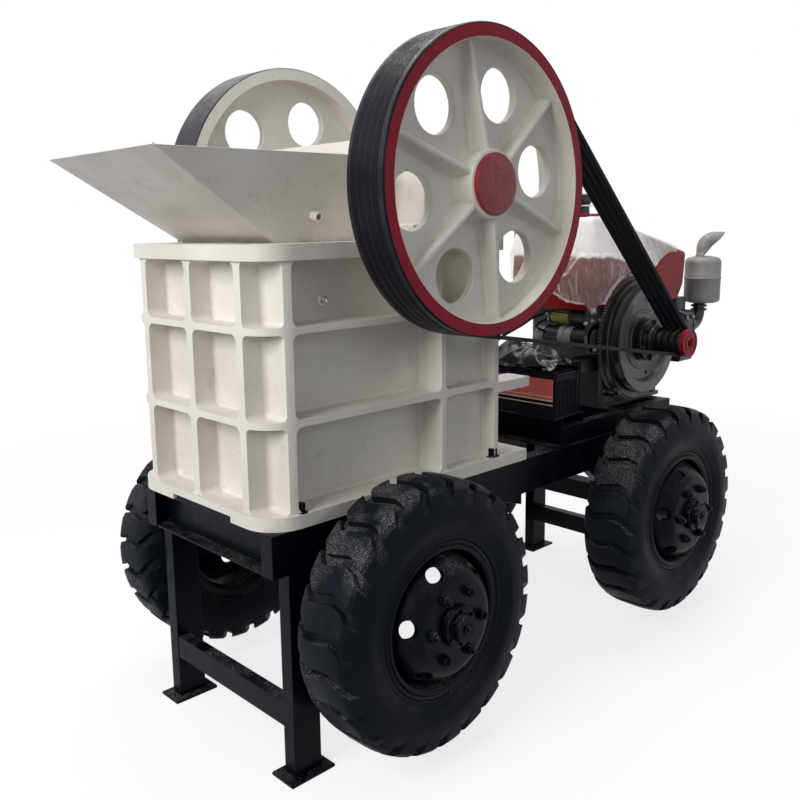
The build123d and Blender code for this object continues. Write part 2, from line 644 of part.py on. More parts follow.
def hopper():
    """Four thin plates of the feed hopper."""
    t = HOPPER_SHEET
    lip_x, lip, lip_z = HOPPER_LIP
    foot_x, foot = HOPPER_FOOT
    rear_x, rear_z = HOPPER_REAR
    foot_z = FRAME_TOP
    front = plate([(lip_x, MID_Y - lip, lip_z), (lip_x, MID_Y + lip, lip_z),
                   (foot_x, MID_Y + foot, foot_z), (foot_x, MID_Y - foot, foot_z)], t, HOPPER_NORMAL)
    sides = []
    for side in (-1, 1):
        a, b = MID_Y + side * lip, MID_Y + side * foot
        sides.append(plate([(lip_x, a, lip_z), (foot_x, b, foot_z), (rear_x, b, foot_z), (rear_x, a, lip_z)],
                           t, (0, side, 0)))
    half = [(foot, foot_z), (lip, lip_z), (lip, rear_z)]
    outline = [(rear_x, MID_Y + y, z) for y, z in half]
    outline += [(rear_x, MID_Y - y, z) for y, z in reversed(half)]
    rear = plate(outline, t, (1, 0, 0))
    return front, sides[0], sides[1], rear


def engine_wheel():
    """Engine flywheel: dished face, stepped rim, toothed ring gear and its stub of crankshaft."""
    y0, y1 = ENGINE_WHEEL_OUT_Y, ENGINE_WHEEL_IN_Y
    r = ENGINE_WHEEL_RADIUS
    seat = y0 + DISH_STEPS[0][1]
    step_y = y0 + ENGINE_FACE_DEPTH
    face = [(ENGINE_WHEEL_BORE, seat)] + [(a, y0 + d) for a, d in DISH_STEPS] + [(ENGINE_FACE_RADIUS, y0)]
    rim = [(ENGINE_FACE_RADIUS, step_y), (r, step_y), (r, y1), (ENGINE_WHEEL_BORE, y1)]
    wheel = turned(face + rim, CRANK_X, CRANK_Z)
    step = 2 * math.pi / GEAR_TEETH
    teeth = []
    for i in range(GEAR_TEETH):
        for share, radius in ((0.0, GEAR_RADIUS - GEAR_DEPTH), (0.3, GEAR_RADIUS), (0.6, GEAR_RADIUS)):
            angle = (i + share) * step
            teeth.append((CRANK_X + radius * math.cos(angle), CRANK_Z + radius * math.sin(angle)))
    gear = slab_xz(teeth, y1 - GEAR_WIDTH, y1) - drum(CRANK_X, CRANK_Z, r - 2, y1 - GEAR_WIDTH - 1, y1 + 1)
    for i in range(3):
        angle = math.radians(ENGINE_WHEEL_HOLES + 120 * i)
        hole_x = CRANK_X + ENGINE_WHEEL_HOLE_CIRCLE * math.cos(angle)
        hole_z = CRANK_Z + ENGINE_WHEEL_HOLE_CIRCLE * math.sin(angle)
        wheel -= drum(hole_x, hole_z, ENGINE_WHEEL_HOLE, y0, y1 + 1)
    return wheel + gear + drum(CRANK_X, CRANK_Z, CRANK_RADIUS, seat, CRANK_END_Y)


def engine_pulley():
    """Grooved pulley on the crank end, bolted to the flywheel."""
    bore = ENGINE_WHEEL_BORE
    r = PULLEY_RADIUS
    profile = [(bore, PULLEY_OUT_Y), (r, PULLEY_OUT_Y)]
    for y in belt_centres():
        profile += [(r, y - GROOVE_TOP_WIDTH / 2), (r - GROOVE_DEPTH, y - GROOVE_BOTTOM_WIDTH / 2),
                    (r - GROOVE_DEPTH, y + GROOVE_BOTTOM_WIDTH / 2), (r, y + GROOVE_TOP_WIDTH / 2)]
    seat = ENGINE_WHEEL_OUT_Y + DISH_STEPS[0][1]
    shoulder = PULLEY_IN_Y - COUPLING_LENGTH
    profile += [(r, shoulder), (COUPLING_RADIUS, shoulder), (COUPLING_RADIUS, seat), (bore, seat)]
    return turned(profile, CRANK_X, CRANK_Z)


def engine_block():
    """Crankcase with its gear-side bulge, feet, starter flange and cylinder barrel, bored for the crank."""
    case = fillet(block(*CASE).edges().filter_by(Axis.Z), CASE_ROUND)
    drop, radius, y0, y1, x0, x1 = BULGE
    bulge = drum(CRANK_X, CRANK_Z + drop, radius, y0, y1) & block(x0, x1, y0 - 1, y1 + 1, CASE[4], CASE[5])
    feet = block(*ENGINE_FEET, BEARER_TOP, CASE[4])
    flange = block(*STARTER_FLANGE)
    barrel = fillet(block(*BARREL).edges().filter_by(Axis.X), BARREL_ROUND)
    whole = case + bulge + feet + flange + barrel
    return whole - drum(CRANK_X, CRANK_Z, CRANK_RADIUS + RUNNING_FIT, STARTER_FLANGE[2] - 1, CRANK_END_Y + 2)


def cylinder_head():
    """Cylinder head and its rocker cover."""
    head = fillet(block(*HEAD).edges().filter_by(Axis.X), HEAD_ROUND)
    return head + fillet(block(*ROCKER_COVER).edges().filter_by(Axis.Z), ROCKER_ROUND)


def crest(x):
    """Height of the hood's top at x."""
    share = max(0, (x - HOOD_CREST_X) / (HOOD_REAR - HOOD_CREST_X))
    return HOOD_TOP - share * (HOOD_TOP - HOOD_REAR_TOP)


def engine_hood():
    """Red cover over the radiator and tank, one pressed form with rounded edges."""
    profile = [(HOOD_FRONT, HOOD_BOTTOM)] + list(reversed(HOOD_REAR_FOOT))
    profile += [(HOOD_REAR, HOOD_REAR_TOP), (HOOD_CREST_X, HOOD_TOP), (HOOD_FRONT + HOOD_LEAN, HOOD_TOP)]
    hood = slab_xz(profile, HOOD_Y[0], HOOD_Y[1])
    seen = [e for e in hood.edges() if e.center().Z > HOOD_BOTTOM + 1]
    return fillet(seen, HOOD_ROUND)


def film_cover():
    """Thin protective film over the hood's top, hanging down its near side and part of its front."""
    skin = FILM_GAP + FILM_THICK
    foot_x = HOOD_FRONT + HOOD_LEAN * (FILM_FRONT_HEM - HOOD_BOTTOM) / (HOOD_TOP - HOOD_BOTTOM)
    over = [(x, crest(x)) for x in (HOOD_FRONT + HOOD_LEAN, HOOD_CREST_X, FILM_REAR)]
    top_in = [(x, z + FILM_GAP) for x, z in over]
    top_out = [(x, z + skin) for x, z in over]
    front_in = [(foot_x - FILM_GAP, FILM_FRONT_HEM), (over[0][0] - FILM_GAP, HOOD_TOP + FILM_GAP)]
    front_out = [(foot_x - skin, FILM_FRONT_HEM), (over[0][0] - skin, HOOD_TOP + skin)]
    y_out = HOOD_Y[0] - skin
    sheet = [front_in[1]] + top_in[1:] + list(reversed(top_out[1:])) + [front_out[1]]
    roof = slab_xz(sheet, y_out, FILM_FAR_Y)
    roof -= post(*NECK, NECK_RADIUS + FILM_COLLAR, HOOD_TOP, HOOD_TOP + NECK_HEIGHT)
    front = slab_xz([front_in[0], front_in[1], front_out[1], front_out[0]], y_out, FILM_FRONT_Y)
    hanging = front_out + top_out[1:] + list(reversed(FILM_HEM))
    side = slab_xz(hanging, HOOD_Y[0] - FILM_GAP, y_out)
    return roof + front + side


def radiator_neck():
    """Filler neck with its wider cap."""
    rim = HOOD_TOP + NECK_HEIGHT
    return post(*NECK, NECK_RADIUS, HOOD_TOP, rim) + post(*NECK, CAP_RADIUS, rim, rim + CAP_HEIGHT)


def muffler():
    """Upright muffler can with a rolled bead, closed by shoulders, and its bent rain spout."""
    r = MUFFLER_RADIUS
    middle = MUFFLER_BOTTOM + SEAM_RISE
    low = [(r - inward, MUFFLER_BOTTOM + rise) for inward, rise in SHOULDER]
    bead = [(r, middle - BEAD), (r + BEAD / 2, middle), (r, middle + BEAD)]
    high = [(r - inward, MUFFLER_TOP - rise) for inward, rise in reversed(SHOULDER)]
    can = [(0, MUFFLER_BOTTOM)] + low + bead + high + [(0, MUFFLER_TOP)]
    body = revolve(make_face(Polyline(*[(a, 0, z) for a, z in can], close=True)), axis=Axis.Z)
    start = (0, 0, MUFFLER_TOP - SPOUT_WALL)
    knee = (0, 0, MUFFLER_TOP + SPOUT_RISE - SPOUT_BEND / 2)
    level = knee[2] + SPOUT_BEND
    rise = Line(start, knee)
    bend = RadiusArc(knee, (SPOUT_BEND, 0, level), SPOUT_BEND)
    run = Line((SPOUT_BEND, 0, level), (SPOUT_BEND + SPOUT_RUN, 0, level))
    path = Wire([rise.edge(), bend.edge(), run.edge()])
    pipe = sweep(Plane(start, z_dir=(0, 0, 1)) * Circle(SPOUT_RADIUS), path=path)
    bore = sweep(Plane(start, z_dir=(0, 0, 1)) * Circle(SPOUT_RADIUS - SPOUT_WALL), path=path)
    mouth_top = (SPOUT_BEND + SPOUT_RUN, 0, level + SPOUT_RADIUS)
    trim = Plane(mouth_top, x_dir=(0, 1, 0), z_dir=SPOUT_TRIM)
    spout = split(pipe - bore, bisect_by=trim, keep=Keep.BOTTOM)
    return Pos(MUFFLER_X, MUFFLER_Y, 0) * Rot(0, 0, SPOUT_TURN) * (body + spout)


def exhaust_elbow():
    """Bent pipe from the head up to the muffler."""
    start = (HEAD[1], MUFFLER_Y, ELBOW_Z)
    bend = ELBOW_X - HEAD[1] - ELBOW_STRAIGHT
    bend_start = (ELBOW_X - bend, MUFFLER_Y, ELBOW_Z)
    bend_end = (ELBOW_X, MUFFLER_Y, ELBOW_Z + bend)
    low = Line(start, bend_start)
    curve = RadiusArc(bend_start, bend_end, -bend)
    rise = Line(bend_end, (ELBOW_X, MUFFLER_Y, MUFFLER_BOTTOM))
    wire = Wire([low.edge(), curve.edge(), rise.edge()])
    return sweep(Plane(start, z_dir=(1, 0, 0)) * Circle(PIPE_RADIUS), path=wire)


def starter(z, radius, y_end):
    """Round motor housing along Y with a smaller end bell."""
    shoulder = y_end - STARTER_BELL
    body = drum(STARTER_X, z, radius, STARTER_FLANGE[3], shoulder)
    return body + drum(STARTER_X, z, radius * BELL_SHARE, shoulder, y_end)


def battery():
    """Battery case with a lid rim and two terminal posts."""
    x0, x1 = BATTERY_X
    y0, y1 = BATTERY_Y
    inset = CASE_INSET
    whole = block(x0 + inset, x1 - inset, y0 + inset, y1 - inset, TRAY_TOP, LID_Z[0])
    whole += block(x0, x1, y0, y1, *LID_Z)
    step_x, step_y = LID_STEP
    whole += block(x0 + step_x, x1 - step_x, y0 + step_y, y1 - step_y, LID_Z[1], BATTERY_TOP)
    across, along = TERMINAL_INSET
    for y in (y0 + along, y1 - along):
        whole += post(x0 + across, y, TERMINAL_RADIUS, BATTERY_TOP, BATTERY_TOP + TERMINAL_RISE)
    return whole


nodes = {}

# Chassis.
nodes["rail_near"] = channel_rail(-1) + rail_gusset(-1)
nodes["rail_far"] = channel_rail(1) + rail_gusset(1)
cross_half = RAIL_OUT_Y - RAIL_FLANGE
front_x, rear_x = CHASSIS_FRONT + END_INSET, CHASSIS_REAR - END_INSET
nodes["cross_beams"] = Compound(children=[
    cross_channel(front_x, front_x + CROSS_FLANGE, cross_half, RAIL_BOTTOM, RAIL_TOP)
    + block(front_x, PACKER_DEPTH, -PACKER_HALF, PACKER_HALF, RAIL_TOP, RAIL_TOP + PACKER_THICK),
    cross_channel(MIDDLE_BEAM_X, MIDDLE_BEAM_X - CROSS_FLANGE, cross_half, RAIL_BOTTOM, RAIL_TOP),
    cross_channel(rear_x, rear_x - CROSS_FLANGE, cross_half, RAIL_BOTTOM, RAIL_TOP)])
nodes["front_legs"] = Compound(children=[leg(FRONT_LEG_X, -1), leg(FRONT_LEG_X, 1)])
nodes["rear_legs"] = Compound(children=[leg(REAR_LEG_X, -1), leg(REAR_LEG_X, 1)])
nodes["leg_braces"] = Compound(children=[leg_brace(FRONT_LEG_X + 2), leg_brace(REAR_LEG_X + 2)])
for name, x in (("front", FRONT_AXLE_X), ("rear", REAR_AXLE_X)):
    beam = axle(x)
    for side in (-1, 1):
        beam += axle_hanger(x, side)
    nodes["axle_" + name] = beam

# Engine sub-frame and battery tray on the rails.
tray_back = TRAY_FRONT + TRAY_LENGTH
bearers = cross_channel(TRAY_FRONT, TRAY_FRONT + TRAY_BEAM, BEARER_Y[1], RAIL_TOP, TRAY_TOP)
bearers += block(TRAY_FRONT + TRAY_BEAM, tray_back, *TRAY_Y, TRAY_TOP - TRAY_SHEET, TRAY_TOP)
bearers += block(tray_back - TRAY_SHEET, tray_back, *TRAY_Y, RAIL_TOP, TRAY_TOP)
for side in (-1, 1):
    low, high = sorted((side * BEARER_Y[0], side * BEARER_Y[1]))
    bearers += block(TRAY_FRONT + TRAY_BEAM, CHASSIS_REAR, low, high, RAIL_TOP, BEARER_TOP)
for x in BEARER_X:
    bearers += block(x - BEARER_WIDE, x, -BEARER_Y[0], BEARER_Y[0], RAIL_TOP, BEARER_TOP)
nodes["engine_subframe"] = bearers

# Crusher frame, cut at its corners into four castings.
frame = crusher_frame()
cut_front, cut_rear = FRONT_PLATE[1], REAR_WALL_X
far, low, high = 900, 700, 1600
nodes["crusher_front_frame"] = frame & block(-far, cut_front, -far, far, low, high)
nodes["crusher_side_frame_near"] = frame & block(cut_front, cut_rear, -far, MID_Y, low, high)
nodes["crusher_side_frame_far"] = frame & block(cut_front, cut_rear, MID_Y, far, low, high)
nodes["crusher_rear_frame"] = frame & block(cut_rear, 1400, -far, far, low, high)
nodes["fixed_jaw_plate"] = jaw_plate((FRONT_PLATE[1], LINER_Z[0]), (FRONT_PLATE[1], LINER_Z[1]))
nodes["swing_jaw"] = swing_jaw()
liner = jaw_plate((-JAW_FOOT[0], JAW_FOOT[1]), (-JAW_HEAD[0], JAW_HEAD[1]))
nodes["swing_jaw_plate"] = mirror(liner, about=Plane.YZ)
cheeks = []
for side in (-1, 1):
    y_wall = MID_Y + side * WALL_IN
    front, back_top, back_foot = CHEEK_X
    points = [(front, LINER_Z[0]), (front, LINER_Z[1]), (back_top, LINER_Z[1]), (back_foot, LINER_Z[0])]
    cheeks.append(slab_xz(points, y_wall, y_wall - side * CHEEK_THICK))
nodes["cheek_plates"] = Compound(children=cheeks)
nodes["toggle_plate"] = slab_xz(TOGGLE_PROFILE, MID_Y - TOGGLE_HALF, MID_Y + TOGGLE_HALF)
seat_x, seat_half, seat_low, seat_high = TOGGLE_SEAT
nodes["toggle_seat"] = block(seat_x, REAR_WALL_X, MID_Y - seat_half, MID_Y + seat_half, seat_low, seat_high)
nodes["bearing_housing_near"] = bearing_housing(-1)
nodes["bearing_housing_far"] = bearing_housing(1)
hopper_front, hopper_near, hopper_far, hopper_rear = hopper()
nodes["hopper_front_plate"] = hopper_front
nodes["hopper_near_plate"] = hopper_near
nodes["hopper_far_plate"] = hopper_far
nodes["hopper_rear_plate"] = hopper_rear

# Crusher drive.
shaft_end = WHEEL_OUT + SHAFT_PROUD
nodes["eccentric_shaft"] = drum(SHAFT_X, SHAFT_Z, SHAFT_RADIUS, MID_Y - shaft_end, MID_Y + shaft_end)
nodes["drive_sheave"] = drive_wheel(-1, True)
nodes["flywheel"] = drive_wheel(1, False)
hub_y = MID_Y - WHEEL_OUT
nodes["sheave_hub_cover"] = (drum(SHAFT_X, SHAFT_Z, HUB_RADIUS, hub_y, hub_y - HUB_PROUD)
                             - drum(SHAFT_X, SHAFT_Z, SHAFT_RADIUS, hub_y, hub_y - HUB_RECESS))
loops = [belt_loop(y) for y in belt_centres()]
nodes["v_belts"] = Compound(children=loops)

# Engine.
nodes["engine_block"] = engine_block()
nodes["cylinder_head"] = cylinder_head()
nodes["engine_flywheel"] = engine_wheel()
nodes["engine_pulley"] = engine_pulley()
nodes["engine_hood"] = engine_hood()
nodes["film_cover"] = film_cover()
nodes["radiator_neck"] = radiator_neck()
nodes["muffler"] = muffler()
nodes["exhaust_elbow"] = exhaust_elbow()
nodes["starter_motor"] = starter(STARTER_Z, STARTER_RADIUS, STARTER_END_Y)
nodes["starter_solenoid"] = starter(STARTER_Z + SOLENOID_LIFT, SOLENOID_RADIUS, SOLENOID_END_Y)
nodes["battery"] = battery()

# Road wheels.
casing = tyre()
for end, x in (("front", FRONT_AXLE_X), ("rear", REAR_AXLE_X)):
    for name, side in (("near", -1), ("far", 1)):
        tag = "_" + end + "_" + name
        turn = Rot(0, 0, 0) if side < 0 else Rot(0, 0, 180)
        nodes["tyre" + tag] = Pos(x, side * (TYRE_OUT_Y + TYRE_IN_Y) / 2, AXLE_Z) * turn * casing
        nodes["wheel" + tag] = wheel_rim(x, side) + wheel_hub(x, side)

# The row's origin is under the middle of the whole machine, on the ground.
boxes = [shape.bounding_box() for shape in nodes.values()]
middle_x = (min(b.min.X for b in boxes) + max(b.max.X for b in boxes)) / 2
middle_y = (min(b.min.Y for b in boxes) + max(b.max.Y for b in boxes)) / 2
to_row = Pos(-middle_x, -middle_y, 0)
print("middle", middle_x, middle_y, min(b.min.Z for b in boxes))
for name, shape in nodes.items():
    export_step(to_row * shape, "parts/" + name + ".step")
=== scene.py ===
import json
import math
import random

import bmesh
import bpy
from mathutils import Matrix, Vector, noise


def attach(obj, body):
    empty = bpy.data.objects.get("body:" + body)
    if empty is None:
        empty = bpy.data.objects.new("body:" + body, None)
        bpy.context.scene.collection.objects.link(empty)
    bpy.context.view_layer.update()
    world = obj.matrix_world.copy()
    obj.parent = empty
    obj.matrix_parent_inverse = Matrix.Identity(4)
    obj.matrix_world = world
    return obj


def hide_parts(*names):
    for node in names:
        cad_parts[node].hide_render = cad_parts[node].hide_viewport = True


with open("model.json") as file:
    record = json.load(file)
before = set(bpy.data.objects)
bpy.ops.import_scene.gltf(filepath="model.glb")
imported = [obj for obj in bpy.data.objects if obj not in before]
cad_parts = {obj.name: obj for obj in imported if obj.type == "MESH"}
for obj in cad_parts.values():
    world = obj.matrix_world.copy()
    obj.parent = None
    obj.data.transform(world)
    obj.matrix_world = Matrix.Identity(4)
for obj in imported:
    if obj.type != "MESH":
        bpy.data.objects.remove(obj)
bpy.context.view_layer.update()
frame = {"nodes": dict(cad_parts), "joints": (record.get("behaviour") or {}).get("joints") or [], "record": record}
NODES = frame["nodes"]
AXES = {joint["name"]: Vector(joint["pos_m"]) for joint in frame["joints"]}

# Places are in metres, measured along X from the feed end of the crusher frame.
SHAFT_FROM_FRONT = 0.727
FRONT_X = AXES["crusher_shaft_spin"].x - SHAFT_FROM_FRONT
SHAFT = AXES["crusher_shaft_spin"]
CRANK = AXES["engine_crank_spin"]


def at(x, y, z):
    """Point given from the feed end, the chassis middle and the ground."""
    return Vector((FRONT_X + x, y, z))


def by_crank(x, y, z):
    """Point given from the crank's axis, the chassis middle and the ground."""
    return Vector((CRANK.x + x, y, z))


def mm(values):
    """Metres from a number of millimetres, or from rows of them."""
    return [mm(value) for value in values] if isinstance(values, tuple) else values / 1000


def placed(name, data):
    """New object in the scene."""
    made = bpy.data.objects.new(name, data)
    bpy.context.scene.collection.objects.link(made)
    return made


bpy.context.view_layer.update()


def span(name):
    """Lowest and highest corner of a CAD node, measured like at()."""
    corners = [NODES[name].matrix_world @ Vector(corner) for corner in NODES[name].bound_box]
    low = Vector([min(c[k] for c in corners) for k in range(3)])
    high = Vector([max(c[k] for c in corners) for k in range(3)])
    return low - Vector((FRONT_X, 0, 0)), high - Vector((FRONT_X, 0, 0))


bpy.context.scene.view_settings.view_transform = "Standard"

# Camera.
CAMERA_PLACE = (-1.3325, -2.2097, 1.589)
CAMERA_YAW = 42.7
CAMERA_PITCH = -9.8
CAMERA_ROLL = -1.0
CAMERA_LENS = 39.56
CAMERA_SHIFT = (0.0341, -0.0294)


def make_camera():
    yaw, pitch, roll = (math.radians(a) for a in (CAMERA_YAW, CAMERA_PITCH, CAMERA_ROLL))
    forward = Vector((math.sin(yaw) * math.cos(pitch), math.cos(yaw) * math.cos(pitch), math.sin(pitch)))
    level = Vector((math.cos(yaw), -math.sin(yaw), 0))
    upright = level.cross(forward)
    right = level * math.cos(roll) + upright * math.sin(roll)
    up = upright * math.cos(roll) - level * math.sin(roll)
    data = bpy.data.cameras.new("camera")
    data.lens = CAMERA_LENS
    data.sensor_width = 36
    data.shift_x, data.shift_y = CAMERA_SHIFT
    camera = placed("camera", data)
    turn = Matrix((right, up, -forward)).transposed().to_4x4()
    camera.matrix_world = Matrix.Translation(at(*CAMERA_PLACE)) @ turn
    bpy.context.scene.camera = camera


make_camera()


# Shader building.
class Shader:
    """A material under construction, with short calls for its nodes."""

    def __init__(self, name):
        self.material = bpy.data.materials.new(name)
        self.material.use_nodes = True
        self.tree = self.material.node_tree
        self.bsdf = self.tree.nodes["Principled BSDF"]
        self.coords = self.tree.nodes.new("ShaderNodeTexCoord")

    def node(self, kind, **inputs):
        made = self.tree.nodes.new(kind)
        for key, value in inputs.items():
            self.put(made.inputs[key.replace("_", " ")], value)
        return made

    def put(self, socket, value):
        if isinstance(value, bpy.types.NodeSocket):
            self.tree.links.new(value, socket)
        else:
            socket.default_value = value

    def stretched(self, scale):
        mapping = self.node("ShaderNodeMapping", Vector=self.coords.outputs["Object"])
        mapping.inputs["Scale"].default_value = scale
        return mapping.outputs["Vector"]

    def noise(self, scale, detail=4.0, roughness=0.55, vector=None):
        made = self.node("ShaderNodeTexNoise", Scale=scale, Detail=detail, Roughness=roughness)
        self.put(made.inputs["Vector"], vector or self.coords.outputs["Object"])
        return made.outputs["Fac"]

    def ramp(self, factor, low, high, start=0.0, end=1.0):
        made = self.node("ShaderNodeMapRange", Value=factor)
        for key, value in (("From Min", low), ("From Max", high), ("To Min", start), ("To Max", end)):
            made.inputs[key].default_value = value
        return made.outputs["Result"]

    def mix(self, factor, first, second):
        made = self.tree.nodes.new("ShaderNodeMix")
        made.data_type = "RGBA"
        self.put(made.inputs["Factor"], factor)
        self.put(made.inputs["A"], first)
        self.put(made.inputs["B"], second)
        return made.outputs["Result"]

    def math(self, operation, first, second=0.0):
        made = self.tree.nodes.new("ShaderNodeMath")
        made.operation = operation
        self.put(made.inputs[0], first)
        self.put(made.inputs[1], second)
        return made.outputs["Value"]

    def axis(self, letter, source="Object"):
        made = self.node("ShaderNodeSeparateXYZ", Vector=self.coords.outputs[source])
        return made.outputs[letter]

    def bump(self, height, strength, distance, below=None):
        made = self.node("ShaderNodeBump", Height=height, Strength=strength, Distance=distance)
        if below is not None:
            self.put(made.inputs["Normal"], below)
        return made.outputs["Normal"]

    # Ambient occlusion, which the cast paint uses for painted shade in its corners.
    def crevice_shade(self, distance):
        made = self.node("ShaderNodeAmbientOcclusion", Distance=distance)
        made.samples = 6
        return made.outputs["AO"]

    def set(self, **inputs):
        for key, value in inputs.items():
            self.put(self.bsdf.inputs[key.replace("_", " ")], value)
        return self.material


def rgb(red, green, blue):
    return (red, green, blue, 1.0)


def darker(colour, share):
    return (*(c * share for c in colour[:3]), 1.0)


def cast_paint(name, light, shade, grime_and_shade):
    """Thick paint over a rough casting, with blotches, smeared grime, small chips and painted shade: the corners
    that the ambient occlusion finds are darkened, in speckles, towards the grime colour.
    """
    s = Shader(name)
    tone = s.mix(s.ramp(s.noise(4.0, 3.0), 0.35, 0.65), light, shade)
    # Painted shade: the ambient occlusion darkens the corners towards the grime colour, in speckles.
    corner = s.ramp(s.crevice_shade(0.03), 0.35, 0.85, 0.5, 0.0)
    speckle = s.ramp(s.noise(38.0, 8.0, 0.7), 0.45, 0.62)
    tone = s.mix(s.math("MULTIPLY", corner, speckle), tone, grime_and_shade)
    smear = s.ramp(s.noise(9.0, 9.0, 0.72), 0.6, 0.72, 0.0, 0.3)
    tone = s.mix(smear, tone, grime_and_shade)
    chips = s.ramp(s.noise(95.0, 3.0, 0.5), 0.74, 0.76)
    tone = s.mix(chips, tone, rgb(0.09, 0.08, 0.07))
    skin = s.bump(s.noise(160.0, 5.0, 0.6), 0.125, 0.002)
    wave = s.bump(s.noise(28.0, 3.0, 0.5), 0.3, 0.004, skin)
    rough = s.ramp(s.noise(22.0, 4.0), 0.3, 0.7, 0.34, 0.54)
    return s.set(Base_Color=tone, Roughness=rough, Normal=wave, Specular_IOR_Level=0.4)


def gloss_paint(name, colour, roughness, lumps, dust, dust_and_highlight_colour, shine):
    """Brushed gloss enamel with dust on the faces that look up; where this pale top is made strong, on the belts,
    the sheave's rim band and the battery film, it is painted reflection and highlight as well as dust.
    """
    s = Shader(name)
    tone = s.mix(s.ramp(s.noise(6.0, 4.0), 0.3, 0.7), colour, darker(colour, 0.72))
    # Faces that look up go pale: dust, and on the belts, the rim band and the battery film also painted light.
    upward = s.ramp(s.axis("Z", "Normal"), 0.5, 0.95)
    grains = s.ramp(s.noise(210.0, 4.0, 0.75), 0.5, 0.68)
    patch = s.ramp(s.noise(11.0, 5.0, 0.6), 0.4, 0.62)
    film = s.math("MULTIPLY", s.math("MULTIPLY", upward, grains), s.math("MULTIPLY", patch, dust))
    tone = s.mix(film, tone, dust_and_highlight_colour)
    rough = s.ramp(s.noise(17.0, 4.0), 0.3, 0.7, roughness - 0.06, roughness + 0.14)
    skin = s.bump(s.noise(70.0, 3.0, 0.5), 0.2 * lumps, 0.002)
    wave = s.bump(s.noise(15.0, 2.0, 0.5), 0.35 * lumps, 0.004, skin)
    return s.set(Base_Color=tone, Roughness=rough, Normal=wave, Specular_IOR_Level=shine)


def bare_metal(name, colour, roughness, metallic=1.0, stain=None, grain=120.0):
    """Metal with brushed tone and stains."""
    s = Shader(name)
    stained = s.ramp(s.noise(18.0, 6.0, 0.65), 0.48, 0.68, 0.0, 0.7)
    tone = s.mix(stained, colour, stain or darker(colour, 0.5))
    rough = s.ramp(s.noise(40.0, 4.0), 0.3, 0.7, roughness - 0.08, roughness + 0.15)
    skin = s.bump(s.noise(grain, 5.0, 0.6), 0.2, 0.0015)
    return s.set(Base_Color=tone, Roughness=rough, Normal=skin, Metallic=metallic)


def tyre_rubber(name, dark, pale, dust):
    """Dark rubber with stone dust on the lugs that look up."""
    s = Shader(name)
    tone = s.mix(s.ramp(s.noise(7.0, 4.0), 0.3, 0.7), dark, pale)
    upward = s.ramp(s.axis("Z", "Normal"), 0.15, 0.75)
    grains = s.ramp(s.noise(330.0, 3.0, 0.8), 0.52, 0.62)
    patch = s.ramp(s.noise(8.0, 4.0, 0.6), 0.42, 0.58)
    tone = s.mix(s.math("MULTIPLY", s.math("MULTIPLY", upward, grains), patch), tone, dust)
    rough = s.ramp(s.noise(14.0, 5.0), 0.3, 0.7, 0.38, 0.58)
    skin = s.bump(s.noise(240.0, 4.0, 0.6), 0.18, 0.001)
    return s.set(Base_Color=tone, Roughness=rough, Normal=skin, Specular_IOR_Level=0.05)


def film_plastic(name, colour, top_alpha, side_alpha):
    """Thin crumpled film, milky where it lies flat and streaked where it hangs."""
    s = Shader(name)
    upward = s.ramp(s.axis("Z", "Normal"), 0.12, 0.34)
    streak = s.ramp(s.noise(34.0, 6.0, 0.7, s.stretched((1.0, 1.0, 0.35))), 0.5, 0.66, 0.0, 0.5)
    milky = s.ramp(s.noise(13.0, 4.0), 0.35, 0.65, 0.85, 1.1)
    layer = s.math("MULTIPLY", s.math("MULTIPLY", upward, milky), top_alpha - side_alpha)
    layer = s.math("ADD", layer, side_alpha)
    alpha = s.node("ShaderNodeClamp", Value=s.math("ADD", layer, s.math("MULTIPLY", streak, 0.6)))
    crease = s.bump(s.noise(60.0, 5.0, 0.6), 0.5, 0.003)
    return s.set(Base_Color=colour, Roughness=0.22, Normal=crease, Alpha=alpha.outputs["Result"])


def rough_red(name, light, shade):
    """Thick red paint over a lumpy casting face, with small bright facets."""
    s = Shader(name)
    tone = s.mix(s.ramp(s.noise(14.0, 4.0), 0.35, 0.65), light, shade)
    grit = s.bump(s.noise(170.0, 3.0, 0.7), 0.7, 0.003)
    lumps = s.bump(s.noise(45.0, 3.0, 0.5), 0.7, 0.006, grit)
    return s.set(Base_Color=tone, Roughness=0.26, Normal=lumps, Specular_IOR_Level=0.3)


